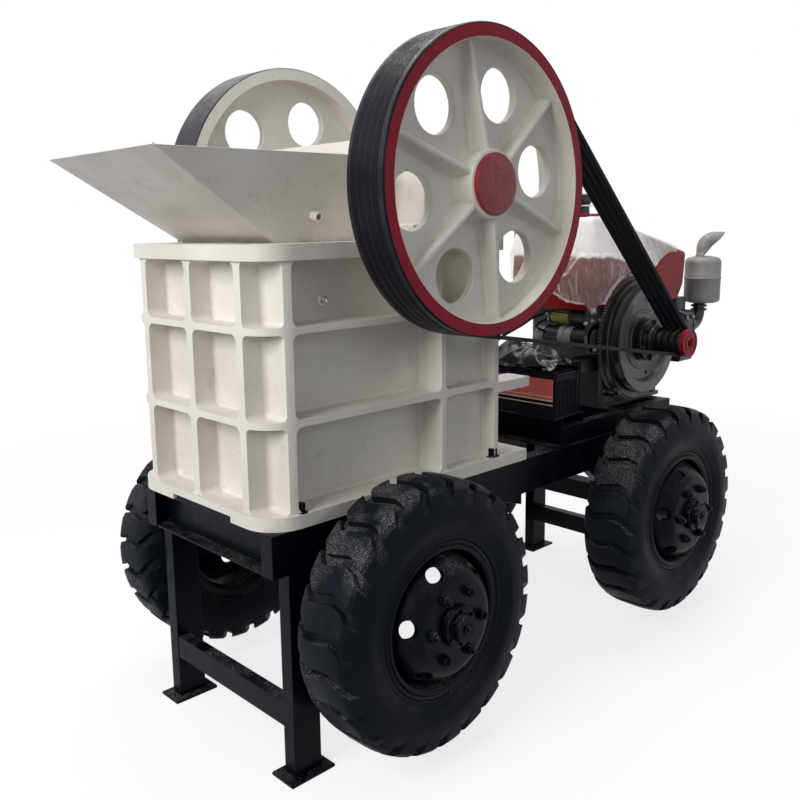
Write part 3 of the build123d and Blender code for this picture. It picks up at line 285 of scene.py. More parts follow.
DUST = rgb(0.32, 0.32, 0.31)
RECIPES = {
    # The cream's last colour is both the grime of the smears and the painted shade in its corners.
    "cream_paint": (cast_paint, rgb(0.74, 0.71, 0.66), rgb(0.66, 0.625, 0.565), rgb(0.25, 0.22, 0.18)),
    "dark_red_paint": (gloss_paint, rgb(0.31, 0.008, 0.027), 0.3, 0.9, 0.0, DUST, 0.12),
    "black_paint": (gloss_paint, rgb(0.0022, 0.0032, 0.0075), 0.3, 0.6, 0.9, DUST, 0.07),
    "tyre_rubber": (tyre_rubber, rgb(0.0035, 0.006, 0.01), rgb(0.008, 0.01, 0.014), rgb(0.26, 0.25, 0.24)),
    # Belts: their strong pale tops are dust and a painted reflection of overhead light.
    "belt_rubber": (gloss_paint, rgb(0.006, 0.006, 0.01), 0.5, 0.2, 2.2, rgb(0.3, 0.29, 0.3), 0.12),
    "cast_steel": (bare_metal, rgb(0.16, 0.15, 0.14), 0.5, 0.6, rgb(0.12, 0.07, 0.04)),
    "bright_steel": (bare_metal, rgb(0.55, 0.55, 0.56), 0.28),
    "engine_grey": (bare_metal, rgb(0.035, 0.036, 0.04), 0.42, 0.35, rgb(0.02, 0.02, 0.022), 90.0),
    "hood_red": (gloss_paint, rgb(0.4, 0.006, 0.012), 0.2, 0.3, 0.0, DUST, 0.12),
    "muffler_silver": (bare_metal, rgb(0.27, 0.265, 0.255), 0.5, 0.15, rgb(0.19, 0.18, 0.17)),
    "battery_case": (gloss_paint, rgb(0.003, 0.005, 0.01), 0.45, 0.1, 0.2, DUST, 0.1),
    "film": (film_plastic, rgb(0.97, 0.93, 0.92), 0.99, 0.29),
    # Crease ribbons: pale, nearly opaque film as painted highlights along the folds and the hem.
    "film_crease": (film_plastic, rgb(0.95, 0.88, 0.86), 0.95, 0.8),
    # Rim band: its strong pale top is dust and a painted reflection of overhead light.
    "rim_black": (gloss_paint, rgb(0.01, 0.011, 0.018), 0.3, 0.6, 2.2, rgb(0.42, 0.41, 0.41), 0.3),
    # Battery film: the pale patches on its tops are painted highlights of the glossy film.
    "dark_film": (gloss_paint, rgb(0.012, 0.012, 0.014), 0.16, 0.5, 0.45, rgb(0.5, 0.49, 0.47), 0.35),
    "hub_red": (rough_red, rgb(0.32, 0.008, 0.03), rgb(0.2, 0.004, 0.016)),
    "engine_black": (bare_metal, rgb(0.016, 0.017, 0.02), 0.34, 0.45, rgb(0.035, 0.034, 0.034), 70.0),
    "engine_bolt": (bare_metal, rgb(0.16, 0.16, 0.165), 0.36, 0.9),
    "cast_face": (bare_metal, rgb(0.095, 0.095, 0.1), 0.42, 0.4, rgb(0.06, 0.06, 0.065), 60.0),
    "label_yellow": (gloss_paint, rgb(0.36, 0.37, 0.05), 0.35, 0.1, 0.0, DUST, 0.5),
    "label_red": (gloss_paint, rgb(0.85, 0.15, 0.13), 0.3, 0.1, 0.0, DUST, 0.5),
    "label_pale": (gloss_paint, rgb(0.9, 0.62, 0.5), 0.35, 0.1, 0.0, DUST, 0.5),
}
MATERIALS = {name: make(name, *values) for name, (make, *values) in RECIPES.items()}
# Slots of the record that stand for the scene's own finishes.
for part in frame["record"]["subparts"]:
    node = NODES[part["node"]]
    node.data.materials.clear()
    node.data.materials.append(MATERIALS[part["material_slot"]])


def soften(name, width):
    """Small rounded edges on a CAD node."""
    node = NODES[name]
    weld = node.modifiers.new("weld", "WELD")
    weld.merge_threshold = 0.00002
    flat = node.modifiers.new("flat", "DECIMATE")
    flat.decimate_type = "DISSOLVE"
    flat.angle_limit = math.radians(0.5)
    bevel = node.modifiers.new("bevel", "BEVEL")
    bevel.width = width
    bevel.segments = 2
    bevel.limit_method = "ANGLE"
    bevel.angle_limit = math.radians(32)
    bevel.harden_normals = False
    bevel.use_clamp_overlap = True
    node.data.polygons.foreach_set("use_smooth", [True] * len(node.data.polygons))
    weighted = node.modifiers.new("weighted", "WEIGHTED_NORMAL")
    weighted.keep_sharp = False


# Floor, backdrop and light.
FLOOR_HALF = 40.0
FLOOR_BOUNCE = rgb(0.19, 0.19, 0.2)
FLOOR_SEEN = rgb(0.92, 0.92, 0.92)
FLOOR_GLOW = 1.05
SHADOW_NEAR, SHADOW_FAR = 2.5, 6.0
GLOW_NEAR, GLOW_FAR = 0.74, 1.0
SKY_COLOUR = rgb(0.93, 0.96, 1.0)
SKY_STRENGTH = 0.32
WHITE = rgb(1, 1, 1)


def seen_rays(tree):
    """One for camera, glossy and transmission rays, else zero."""
    path = tree.nodes.new("ShaderNodeLightPath")
    factor = path.outputs["Is Camera Ray"]
    for ray in ("Is Glossy Ray", "Is Transmission Ray"):
        either = tree.nodes.new("ShaderNodeMath")
        either.operation = "MAXIMUM"
        tree.links.new(factor, either.inputs[0])
        tree.links.new(path.outputs[ray], either.inputs[1])
        factor = either.outputs["Value"]
    return factor


def blend_shaders(tree, factor, first, second, output):
    """Mixes two shaders and sends them to an output node."""
    blend = tree.nodes.new("ShaderNodeMixShader")
    for source, socket in ((factor, 0), (first.outputs[0], 1), (second.outputs[0], 2)):
        tree.links.new(source, blend.inputs[socket])
    tree.links.new(blend.outputs[0], tree.nodes[output].inputs["Surface"])


def make_stage():
    mesh = bpy.data.meshes.new("floor")
    h = FLOOR_HALF
    mesh.from_pydata([(-h, -h, 0), (h, -h, 0), (h, h, 0), (-h, h, 0)], [], [(0, 1, 2, 3)])
    floor = placed("floor", mesh)
    s = Shader("floor")
    seen = seen_rays(s.tree)
    s.set(Base_Color=s.mix(seen, FLOOR_BOUNCE, FLOOR_SEEN), Roughness=0.9, Specular_IOR_Level=0.1)
    away = s.tree.nodes.new("ShaderNodeVectorMath")
    away.operation = "LENGTH"
    s.put(away.inputs[0], s.coords.outputs["Object"])
    share = s.ramp(away.outputs["Value"], SHADOW_NEAR, SHADOW_FAR, GLOW_NEAR, GLOW_FAR)
    glow = s.node("ShaderNodeEmission", Color=WHITE, Strength=FLOOR_GLOW)
    blend_shaders(s.tree, s.math("MULTIPLY", seen, share), s.bsdf, glow, "Material Output")
    mesh.materials.append(s.material)

    world = bpy.data.worlds.new("studio")
    bpy.context.scene.world = world
    world.use_nodes = True
    tree = world.node_tree
    sky = tree.nodes["Background"]
    white = tree.nodes.new("ShaderNodeBackground")
    for background, colour, strength in ((sky, SKY_COLOUR, SKY_STRENGTH), (white, WHITE, 1.0)):
        background.inputs["Color"].default_value = colour
        background.inputs["Strength"].default_value = strength
    blend_shaders(tree, seen_rays(tree), sky, white, "World Output")


def area_light(name, place, aim, size, watts, colour):
    data = bpy.data.lights.new(name, "AREA")
    data.shape = "RECTANGLE"
    data.size, data.size_y = size
    data.energy = watts
    data.color = colour
    lamp = placed(name, data)
    lamp.location = place
    lamp.rotation_mode = "QUATERNION"
    lamp.rotation_quaternion = (Vector(aim) - Vector(place)).to_track_quat("-Z", "Y")


make_stage()
# Place, aim, size, watts and colour of each lamp.
LAMPS = {
    "key": ((-5.5, -0.6, 3.6), (-0.6, 0.0, 1.0), (3.0, 3.0), 255, (1.0, 0.99, 0.97)),
    "top": ((0.2, 0.4, 5.5), (0.0, 0.0, 0.8), (4.0, 3.0), 150, (1.0, 1.0, 1.0)),
    "side": ((1.0, -5.5, 3.0), (0.0, 0.0, 0.9), (3.0, 2.0), 24, (0.95, 0.97, 1.0)),
}
for name, values in LAMPS.items():
    area_light(name, *values)

# Mesh building.
ALONG_Y = Matrix.Rotation(math.radians(-90), 4, "X")


def about_y(centre, mirror=1, y=0.0):
    """Placement that spins (radius, y) profiles about a Y axis."""
    return Matrix.Translation((centre.x, y, centre.z)) @ ALONG_Y @ Matrix.Diagonal((1, 1, mirror, 1))


def round_y(centre, radius, degrees, y=0.0):
    """Point on a circle about a Y axis."""
    turn = math.radians(degrees)
    return centre + Vector((radius * math.cos(turn), y, radius * math.sin(turn)))


def bridge(bm, rings, closed=True, loop=False):
    """Faces between rings with the same number of points."""
    for low, high in zip(rings, rings[1:] + (rings[:1] if loop else [])):
        for k in range(len(low) if closed else len(low) - 1):
            n = (k + 1) % len(low)
            bm.faces.new([low[k], low[n], high[n], high[k]])


def spun(bm, profile, place, segments=64, loop=False):
    """Surface of revolution from (radius, height) points about the local Z axis of a placement."""
    rings = []
    for radius, height in profile:
        count = 1 if radius < 1e-6 else segments
        turns = [2 * math.pi * k / segments for k in range(count)]
        rings.append([bm.verts.new(place @ Vector((radius * math.cos(t), radius * math.sin(t), height)))
                      for t in turns])
    following = rings[1:] + rings[:1] if loop else rings[1:]
    for low, high in zip(rings, following):
        for k in range(segments):
            n = (k + 1) % segments
            corners = [low[k % len(low)], low[n % len(low)], high[n % len(high)], high[k % len(high)]]
            corners = list(dict.fromkeys(corners))
            if len(corners) > 2:
                bm.faces.new(corners)


def facing(point, direction):
    """Placement at a point, with its Z axis along a direction."""
    turn = Vector(direction).normalized().to_track_quat("Z", "Y")
    return Matrix.Translation(point) @ turn.to_matrix().to_4x4()


def rod(bm, start, end, radius, segments):
    """Closed cylinder between two points."""
    run = end - start
    spun(bm, [(0, 0), (radius, 0), (radius, run.length), (0, run.length)], facing(start, run), segments)


def box(bm, low, high, turn=None):
    """Closed box between two corners, turned about its middle when a rotation is given."""
    size = Matrix.Diagonal((*(high - low), 1.0))
    place = Matrix.Translation((low + high) / 2)
    bmesh.ops.create_cube(bm, size=1.0, matrix=place @ (turn or Matrix.Identity(4)) @ size)


def prism(bm, outline, low, high):
    """Closed prism between two shifts of an outline."""
    rings = [[bm.verts.new(point + shift) for point in outline] for shift in (low, high)]
    bm.faces.new(rings[0])
    bm.faces.new(list(reversed(rings[1])))
    bridge(bm, rings)


def smooth_path(points, steps=8):
    """Points of a smooth curve through given points."""
    ends = [2 * points[0] - points[1]] + points + [2 * points[-1] - points[-2]]
    made = []
    for a, b, c, d in zip(ends, ends[1:], ends[2:], ends[3:]):
        for k in range(steps):
            t = k / steps
            made.append(0.5 * (2 * b + (c - a) * t + (2 * a - 5 * b + 4 * c - d) * t * t
                               + (3 * b - a - 3 * c + d) * t * t * t))
    return made + [points[-1]]


def pipe(bm, points, radius, segments=12, steps=8):
    """Closed tube along a smooth path."""
    path = smooth_path(points, steps)
    last = len(path) - 1
    side = (path[1] - path[0]).normalized().orthogonal().normalized()
    turns = [2 * math.pi * k / segments for k in range(segments)]
    rings = []
    for k, point in enumerate(path):
        tangent = (path[min(k + 1, last)] - path[max(k - 1, 0)]).normalized()
        side = (side - tangent * side.dot(tangent)).normalized()
        other = tangent.cross(side)
        rings.append([bm.verts.new(point + radius * (side * math.cos(t) + other * math.sin(t)))
                      for t in turns])
    bridge(bm, rings)
    bm.faces.new(list(reversed(rings[0])))
    bm.faces.new(rings[-1])


def nut(bm, base, direction, across, height, stud=0.0, washer=0.0):
    """Chamfered hexagon on a surface point, with a stud end and a washer when asked."""
    place = facing(base, direction)
    r = across / math.sqrt(3)
    lift = 0.0
    if washer:
        lift = 0.003
        spun(bm, [(0, 0), (washer, 0), (washer, lift), (0, lift)], place, 24)
    top = lift + height
    spun(bm, [(0, lift), (r, lift), (r, lift + height * 0.82), (r * 0.88, top), (0, top)], place, 6)
    if stud:
        end = top + stud * 1.1
        spun(bm, [(0, top), (stud, top), (stud, top + stud * 0.9), (stud * 0.8, end), (0, end)], place, 14)


def piece(name, bm, material, body="machine_frame", slot=None, bevel=0.0, sharp=35, replaces=()):
    """Turns a finished bmesh into a piece that rides on a body."""
    bmesh.ops.remove_doubles(bm, verts=bm.verts, dist=1e-6)
    bmesh.ops.recalc_face_normals(bm, faces=bm.faces)
    mesh = bpy.data.meshes.new(name)
    bm.to_mesh(mesh)
    bm.free()
    mesh.materials.append(MATERIALS[material])
    made = placed(name, mesh)
    mesh.shade_smooth()
    if bevel:
        edge = made.modifiers.new("bevel", "BEVEL")
        edge.width = bevel
        edge.segments = 2
        edge.limit_method = "ANGLE"
        edge.angle_limit = math.radians(sharp)
        made.modifiers.new("weighted", "WEIGHTED_NORMAL")
    else:
        mesh.set_sharp_from_angle(angle=math.radians(sharp))
    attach(made, body)
    if replaces:
        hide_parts(*replaces)
    return made


def cut(made, cutters, sharp=None):
    """Takes closed cutter shapes out of a piece for good."""
    bmesh.ops.recalc_face_normals(cutters, faces=cutters.faces)
    mesh = bpy.data.meshes.new("cutter")
    cutters.to_mesh(mesh)
    cutters.free()
    tool = placed("cutter", mesh)
    away = made.modifiers.new("away", "BOOLEAN")
    away.operation = "DIFFERENCE"
    away.solver = "EXACT"
    away.object = tool
    made.modifiers.move(len(made.modifiers) - 1, 0)
    bpy.context.view_layer.update()
    with bpy.context.temp_override(object=made, active_object=made, selected_objects=[made]):
        bpy.ops.object.modifier_apply(modifier="away")
    bpy.data.objects.remove(tool)
    if sharp:
        made.data.set_sharp_from_angle(angle=math.radians(sharp))


def ring_piece(name, centre, profile, material, body="machine_frame", segments=48, sharp=30, **more):
    """One shape turned about a Y axis: a closed ring, or a solid when its profile starts on the axis."""
    bm = bmesh.new()
    spun(bm, profile, about_y(centre), segments, loop=profile[0][0] > 0)
    return piece(name, bm, material, body, sharp=sharp, **more)


def shifted(by, profile):
    """Profile with its second values moved."""
    return [(radius, by + place) for radius, place in profile]


# Road wheels.
TYRE_MIDDLE = 0.5105
TYRE_HALF = 0.1075
LUGS = 24
LUG_SHARE = 0.72
LUG_FLARE = 0.04
LUG_ROOT = 0.012
SHOULDER = 0.62
SHOULDER_NARROWING = 0.14
SHOULDER_ROUNDING = 0.0045
LUG_WOBBLE = 0.006
STATIONS = (-1.0, -0.955, -0.9, -0.8, -0.62, -0.45, -0.2, 0.0, 0.15, 0.3, 0.45, 0.62, 0.8, 0.9, 0.955, 1.0)
LUG_SHIFT = ((-1.0, -0.42), (-0.45, 0.1), (0.3, -0.06), (0.62, 0.03), (1.0, 0.42))
# (half width, radius) points of the carcass, from the bead to the crown.
CARCASS = mm(((69, 205), (83, 233.5), (89.5, 236.5), (92, 243), (92.5, 252), (95.5, 256), (100.5, 268),
              (105, 290), (106.2, 293), (106.6, 297), (107, 315), (104.5, 338), (98.5, 356), (90, 369.5),
              (75, 378.5), (45, 383.5), (0, 385)))
SIDEWALL_POINTS = 9
INSIDE_TYRE = mm(((205, -69), (240, -50), (240, 50)))
LUG_TOP = ((1.0, 0.344), (0.955, 0.362), (0.9, 0.3845), (0.8, 0.396), (0.62, 0.4015), (0.45, 0.4035),
           (0.3, 0.4045), (0.0, 0.405))


def between(table, x):
    """Straight-line value of a table of (x, y) points in either order."""
    rows = sorted(table)
    for (x0, y0), (x1, y1) in zip(rows, rows[1:]):
        if x <= x1:
            return y0 + (y1 - y0) * max(0.0, (x - x0) / (x1 - x0))
    return rows[-1][1]


def tyre(tag, side):
    place = about_y(AXES["road_wheel_" + tag + "_spin"], side, side * TYRE_MIDDLE)
    bm = bmesh.new()
    profile = [(r, w) for w, r in CARCASS] + [(r, -w) for w, r in reversed(CARCASS[:-1])]
    spun(bm, profile + INSIDE_TYRE, place, 144, loop=True)
    rng = random.Random(tag)
    for i in range(LUGS):
        wobble = rng.uniform(-LUG_WOBBLE, LUG_WOBBLE)
        rows = []
        for u in STATIONS:
            w = u * (TYRE_HALF - SHOULDER_ROUNDING * abs(u) ** 8)
            top = between(LUG_TOP, abs(u))
            base = min(between(CARCASS[SIDEWALL_POINTS:], abs(w)), top) - LUG_ROOT
            share = LUG_SHARE - SHOULDER_NARROWING * max(0.0, abs(u) - SHOULDER) / (1.0 - SHOULDER)
            middle = (i + between(LUG_SHIFT, u) + wobble) / LUGS
            foot, row = share + LUG_FLARE, []
            for radius, t in ((base, -foot / 2), (base, 0), (base, foot / 2), (top, share / 2), (top, 0),
                              (top, -share / 2)):
                turn = 2 * math.pi * (middle + t / LUGS)
                spot = Vector((radius * math.cos(turn), -radius * math.sin(turn), w))
                row.append(bm.verts.new(place @ spot))
            rows.append(row)
        bridge(bm, rows)
        for row in (rows[0], rows[-1]):
            bm.faces.new([row[0], row[1], row[4], row[5]])
            bm.faces.new(row[1:5])
    piece("tyre_tread_" + tag, bm, "tyre_rubber", "road_wheel_" + tag, bevel=0.0022, sharp=24,
          replaces=("tyre_" + tag,))


# (radius, distance from the chassis middle) points.
RIM_AND_DISC = mm(((203, 574), (208.5, 588), (216, 593), (233.5, 592.5), (234.5, 597), (231, 600.5),
                   (223.5, 601.5), (220.5, 598.5), (218.5, 601.5), (212.5, 602.5), (206.5, 600), (201, 592),
                   (196.5, 574), (195.5, 560), (190, 575), (182, 593), (172, 611), (161, 627), (150, 638),
                   (138, 644.5), (125, 646), (55, 646), (55, 636), (124, 636), (135, 634.5), (145, 629),
                   (154, 619), (164, 603), (174, 584), (182, 566), (189, 548), (195.5, 540), (195.5, 440),
                   (199, 430), (212, 424), (212, 427.5), (234.5, 424), (233.5, 430), (216, 431),
                   (208.5, 434), (203, 446)))
WHEEL_HUB = mm(((0, 506), (44, 506), (46, 560), (62, 600), (121, 608), (122, 636), (61, 636.5), (61, 661),
                (59.5, 665.5), (55, 667), (41, 667), (39.5, 669), (39.5, 685), (36.5, 689), (20, 689),
                (18, 686), (0, 686)))
HAND_HOLE = mm(((0, 500), (28, 500), (28, 700), (0, 700)))
HAND_HOLE_PLACE = Matrix.Translation((0.165, 0, 0)) @ Matrix.Diagonal((0.56, 1.0, 1, 1))
FIRST_HAND_HOLE = 10
# First angle, circle, height, then the width, height, stud and washer of each ring of nuts.
HUB_NUTS = ((0, 0.1025, 0.646, 0.027, 0.016, 0.009, 0.019), (30, 0.05, 0.667, 0.012, 0.006))
SPINDLE_NUT = (0.026, 0.009, 0.005)


def wheel(tag, side):
    body = "road_wheel_" + tag
    place = about_y(AXES[body + "_spin"], side)
    bm = bmesh.new()
    spun(bm, RIM_AND_DISC, place, 96, loop=True)
    rim = piece("wheel_rim_" + tag, bm, "black_paint", body, sharp=40, replaces=("wheel_" + tag,))
    holes = bmesh.new()
    for i in range(6):
        turn = Matrix.Rotation(math.radians(FIRST_HAND_HOLE + 60 * i), 4, "Z")
        spun(holes, HAND_HOLE, place @ turn @ HAND_HOLE_PLACE, 40)
    cut(rim, holes, 38)
    bm = bmesh.new()
    spun(bm, WHEEL_HUB, place, 64)
    out = place.to_3x3() @ Vector((0, 0, 1))
    for first, circle, height, *nut_size in HUB_NUTS:
        for i in range(6):
            turn = math.radians(first + 60 * i)
            foot = place @ Vector((circle * math.cos(turn), circle * math.sin(turn), height))
            nut(bm, foot, out, *nut_size)
    nut(bm, place @ Vector((0, 0, 0.684)), out, *SPINDLE_NUT)
    piece("wheel_hub_" + tag, bm, "black_paint", body, bevel=0.0008, sharp=40)


for end in ("front", "rear"):
    for name, side in (("near", -1), ("far", 1)):
        tyre(end + "_" + name, side)
        wheel(end + "_" + name, side)


# Crusher drive: sheave, flywheel, hub cover and belts.
MIDDLE_Y = 0.025
WHEEL_R = 0.452
RIM_BORE = 0.409
WHEEL_OUT = 0.545
WHEEL_WIDE = 0.146
GROOVED_RIM, PLAIN_RIM = 0.016, 0.004
WEB_FRONT = 0.066
WEB_BACK = 0.094
BOSS_R = 0.102
HOLES_AT = 0.284
HOLE_R = 0.082
HOLE_EASE = 0.003
FIRST_HOLE = 9.7
RIB_ROOT, RIB_TIP = 0.09, 0.409
RIB_STATIONS = (0.09, 0.112, 0.15, 0.2, 0.25, 0.3, 0.35, 0.39, 0.413)
RIB_HIGH, RIB_FALL = 0.059, 0.025
TIP_FLARE, TIP_FLARE_FROM = 0.006, 0.35
ROOT_FLARE, ROOT_FLARE_TO = 0.01, 0.15
FLARE_RUN = 0.06
FRONT_RIM_FILLET, FRONT_BOSS_FILLET = 0.014, 0.018
BACK_RIM_FILLET, BACK_BOSS_FILLET = 0.012, 0.014
BELT_Y = [-0.444 + (i - 1.5) * 0.028 for i in range(4)]
GROOVE_TOP, GROOVE_BOTTOM, GROOVE_DEEP = 0.0235, 0.0143, 0.015
PULLEY_R = 0.057
SPAN = CRANK - SHAFT
SPAN_LONG = math.hypot(SPAN.x, SPAN.z)


def arc(cx, cy, radius, start, end, steps=5):
    """Points of an arc between two angles in degrees."""
    turns = [math.radians(start + (end - start) * k / steps) for k in range(steps + 1)]
    return [(cx + radius * math.cos(t), cy + radius * math.sin(t)) for t in turns]


def rim_grooves():
    """(radius, y) points of the belt grooves along the sheave's rim, from the last belt to the first."""
    radius = WHEEL_R + 0.001
    half = [(radius - 0.001, GROOVE_TOP / 2 + 0.0008), (radius - 0.0025, GROOVE_TOP / 2 - 0.0003),
            (radius - GROOVE_DEEP, GROOVE_BOTTOM / 2)]
    return [(r, y + w) for y in reversed(BELT_Y) for r, w in half + [(r, -w) for r, w in reversed(half)]]


def cast_wheel(name, side, grooved, node):
    """Sheave or flywheel casting with fillets, round holes and drafted ribs."""
    def y(depth):
        return MIDDLE_Y + side * (WHEEL_OUT - depth)

    thick = GROOVED_RIM if grooved else PLAIN_RIM
    band = [(WHEEL_R - thick, WHEEL_WIDE), (WHEEL_R - 0.003, WHEEL_WIDE), (WHEEL_R, WHEEL_WIDE - 0.003)]
    if grooved:
        band += [(r, WHEEL_OUT - abs(v - MIDDLE_Y)) for r, v in rim_grooves()]
    band += [(WHEEL_R, 0.004), (WHEEL_R - 0.003, 0.0), (WHEEL_R - thick, 0.0)]
    ring_piece(name + "_band", SHAFT, [(r, y(d)) for r, d in band], "rim_black", "crusher_drive", 160, 28)
    profile = [(WHEEL_R - thick, WHEEL_WIDE), (WHEEL_R - thick, 0.0), (RIM_BORE + 0.002, 0.0),
               (RIM_BORE, 0.002)]
    r = FRONT_RIM_FILLET
    profile += arc(RIM_BORE - r, WEB_FRONT - r, r, 0, 90)
    r = FRONT_BOSS_FILLET
    profile += arc(BOSS_R + r, WEB_FRONT - r, r, 90, 180)
    profile += [(BOSS_R, 0.005), (BOSS_R - 0.0015, 0.0012), (BOSS_R - 0.005, 0.0), (0.05, 0.0),
                (0.05, 0.166), (BOSS_R - 0.004, 0.166), (BOSS_R, 0.162)]
    r = BACK_BOSS_FILLET
    profile += arc(BOSS_R + r, WEB_BACK + r, r, 180, 270)
    r = BACK_RIM_FILLET
    profile += arc(RIM_BORE - r, WEB_BACK + r, r, -90, 0)
    profile += [(RIM_BORE, WHEEL_WIDE - 0.002), (RIM_BORE + 0.002, WHEEL_WIDE)]
    made = ring_piece(name, SHAFT, [(r, y(d)) for r, d in profile], "cream_paint", "crusher_drive", 160, 28,
                      replaces=(node,))
    holes = bmesh.new()
    wide = HOLE_R + HOLE_EASE
    hole = [(0, 0.05), (wide, 0.05), (wide, WEB_FRONT), (HOLE_R, WEB_FRONT + 0.004),
            (HOLE_R, WEB_BACK - 0.004), (wide, WEB_BACK), (wide, 0.11), (0, 0.11)]
    for k in range(6):
        spun(holes, [(r, y(d)) for r, d in hole], about_y(round_y(SHAFT, HOLES_AT, FIRST_HOLE + 60 * k)), 56)
    cut(made, holes, 28)
    bm = bmesh.new()
    for k in range(6):
        turn = math.radians(FIRST_HOLE + 30 + 60 * k)
        out = Vector((math.cos(turn), 0, math.sin(turn)))
        across = Vector((-math.sin(turn), 0, math.cos(turn)))
        rows = []
        for r in RIB_STATIONS:
            high = RIB_HIGH - (r - RIB_ROOT) / (RIB_TIP - RIB_ROOT) * RIB_FALL
            flare = TIP_FLARE * max(0.0, (r - TIP_FLARE_FROM) / FLARE_RUN) ** 2
            flare += ROOT_FLARE * max(0.0, (ROOT_FLARE_TO - r) / FLARE_RUN) ** 2
            half = [(0.024 + flare, -0.004), (0.0175 + flare, 0.0015), (0.0135 + flare, 0.006),
                    (0.0115 + flare, 0.013), (0.0095, high - 0.007), (0.0082, high - 0.0028),
                    (0.0055, high - 0.0007), (0.0, high)]
            line = [(-w, h) for w, h in half] + [(w, h) for w, h in reversed(half[:-1])]
            rows.append([bm.verts.new(SHAFT + out * r + across * w
                                      + Vector((0, y(WEB_FRONT - h) - SHAFT.y, 0))) for w, h in line])
        bridge(bm, rows)
        bm.faces.new(rows[0])
        bm.faces.new(list(reversed(rows[-1])))
    piece(name + "_ribs", bm, "cream_paint", "crusher_drive", sharp=50)


cast_wheel("sheave_casting", -1, True, "drive_sheave")
cast_wheel("flywheel_casting", 1, False, "flywheel")

SHEAVE_FACE = MIDDLE_Y - WHEEL_OUT
RED_RING = mm(((410.8, 0.8), (411.5, -0.6), (446.8, -0.6), (448.5, 0.8)))
RIM_EDGE = mm(((446.6, 1), (447, -0.9), (448.9, -0.9), (451.8, 3.2), (450, 6)))
HUB_COVER = mm(((0, -12.2), (30, -12.5), (86, -12.2), (89, -11.2), (90.7, -8.8), (91.2, -5.5), (91.2, 0),
                (0, 0)))
ring_piece("sheave_red_ring", SHAFT, shifted(SHEAVE_FACE, RED_RING), "dark_red_paint", "crusher_drive", 128)
ring_piece("sheave_rim_edge", SHAFT, shifted(SHEAVE_FACE, RIM_EDGE), "black_paint", "crusher_drive", 128)
ring_piece("hub_cover", SHAFT, shifted(SHEAVE_FACE, HUB_COVER), "hub_red", "crusher_drive", 96, 35,
           replaces=("sheave_hub_cover",))
BELT_SECTION = mm(((-11, -1.2), (-10, 0.2), (-8.5, 0.5), (8.5, 0.5), (10, 0.2), (11, -1.2), (7.2, -12.2),
                   (6, -12.8), (-6, -12.8), (-7.2, -12.2)))
WHEEL_STEPS, PULLEY_STEPS = 72, 20


def belt_path():
    """Points and outward directions round both pulleys, in the XZ plane."""
    heading = math.atan2(SPAN.z, SPAN.x)
    lean = math.asin((WHEEL_R - PULLEY_R) / SPAN_LONG)
    upper, lower = heading + math.pi / 2 - lean, heading - math.pi / 2 + lean
    round_wheel = 2 * math.pi - (upper - lower)
    made = [(CRANK, PULLEY_R, upper + (lower - upper) * k / PULLEY_STEPS) for k in range(PULLEY_STEPS + 1)]
    made += [(SHAFT, WHEEL_R, lower - round_wheel * k / WHEEL_STEPS) for k in range(WHEEL_STEPS + 1)]
    outward = [(c, r, Vector((math.cos(t), 0, math.sin(t)))) for c, r, t in made]
    return [(c + n * r, n) for c, r, n in outward]


bm = bmesh.new()
for y in BELT_Y:
    rings = [[bm.verts.new(p + n * h + Vector((0, y + w - p.y, 0))) for w, h in BELT_SECTION]
             for p, n in belt_path()]
    bridge(bm, rings, loop=True)
piece("v_belt_set", bm, "belt_rubber", sharp=40, replaces=("v_belts",))

# Small fittings on the hopper, the side frame and the base flange.
HOPPER_STUB = mm(((7.5, -12), (13, -12), (13.8, 4), (13.8, 18), (12.5, 19.5), (8.8, 19.5), (8, 18)))
STUB_PLACE = Matrix.Translation(at(0.265, -0.25, 1.615)) @ Matrix.Rotation(math.radians(98), 4, "X")
# Each nut's width over the flats and height, then its stud and washer where it has them.
SIDE_NUT, SIDE_NUT_AT = (0.021, 0.012, 0.008, 0.018), at(0.289, -0.243, 1.377)
ANCHOR_NUT = (0.019, 0.014, 0.011, 0.017)
ANCHORS = [at(x, -0.33, 0.796) for x in (0.122, 0.95, 0.966)]
bm = bmesh.new()
spun(bm, HOPPER_STUB, STUB_PLACE, 32, loop=True)
piece("hopper_stub", bm, "cream_paint", bevel=0.0008, sharp=40)
bm = bmesh.new()
nut(bm, SIDE_NUT_AT, (0, -1, 0), *SIDE_NUT)
piece("side_panel_nut", bm, "bright_steel", bevel=0.0008, sharp=40)
bm = bmesh.new()
for foot in ANCHORS:
    nut(bm, foot, (0, 0, 1), *ANCHOR_NUT)
piece("anchor_nuts", bm, "black_paint", bevel=0.0006)

# Engine flywheel, ring gear and pulley; profiles are measured from the flywheel's near face.
EW_FACE = -0.336
EW_WIDE = 0.08
EW_RIM = mm(((190, 0), (218, 0), (222, 4), (222, 33), (223.5, 36), (246.5, 36), (250, 39.5), (250, 60),
             (247.5, 80), (30, 80), (30, 50), (186, 50), (186, 4)))
EW_DISC = mm(((30, 24), (90, 24), (92, 28.5), (110, 29), (113, 26.5), (122, 26.5), (125, 30), (160, 30),
              (167, 27), (174, 8), (178, 2), (182, -0.4), (217, -0.4), (218.5, 1.2), (218.5, 4), (187, 45),
              (30, 52)))
EW_BORE = mm(((0, -10), (9, -10), (9, 47), (0, 47)))
EW_BORES_AT = 0.15
ring_piece("engine_wheel_rim", CRANK, shifted(EW_FACE, EW_RIM), "engine_black", "engine_drive", 144,
           replaces=("engine_flywheel",))
face = ring_piece("engine_wheel_face", CRANK, shifted(EW_FACE, EW_DISC), "cast_face", "engine_drive",
                  144, 26)
bores = bmesh.new()
for degrees in (285, 45, 165):
    spun(bores, shifted(EW_FACE, EW_BORE), about_y(round_y(CRANK, EW_BORES_AT, degrees)), 24)
cut(face, bores, 26)

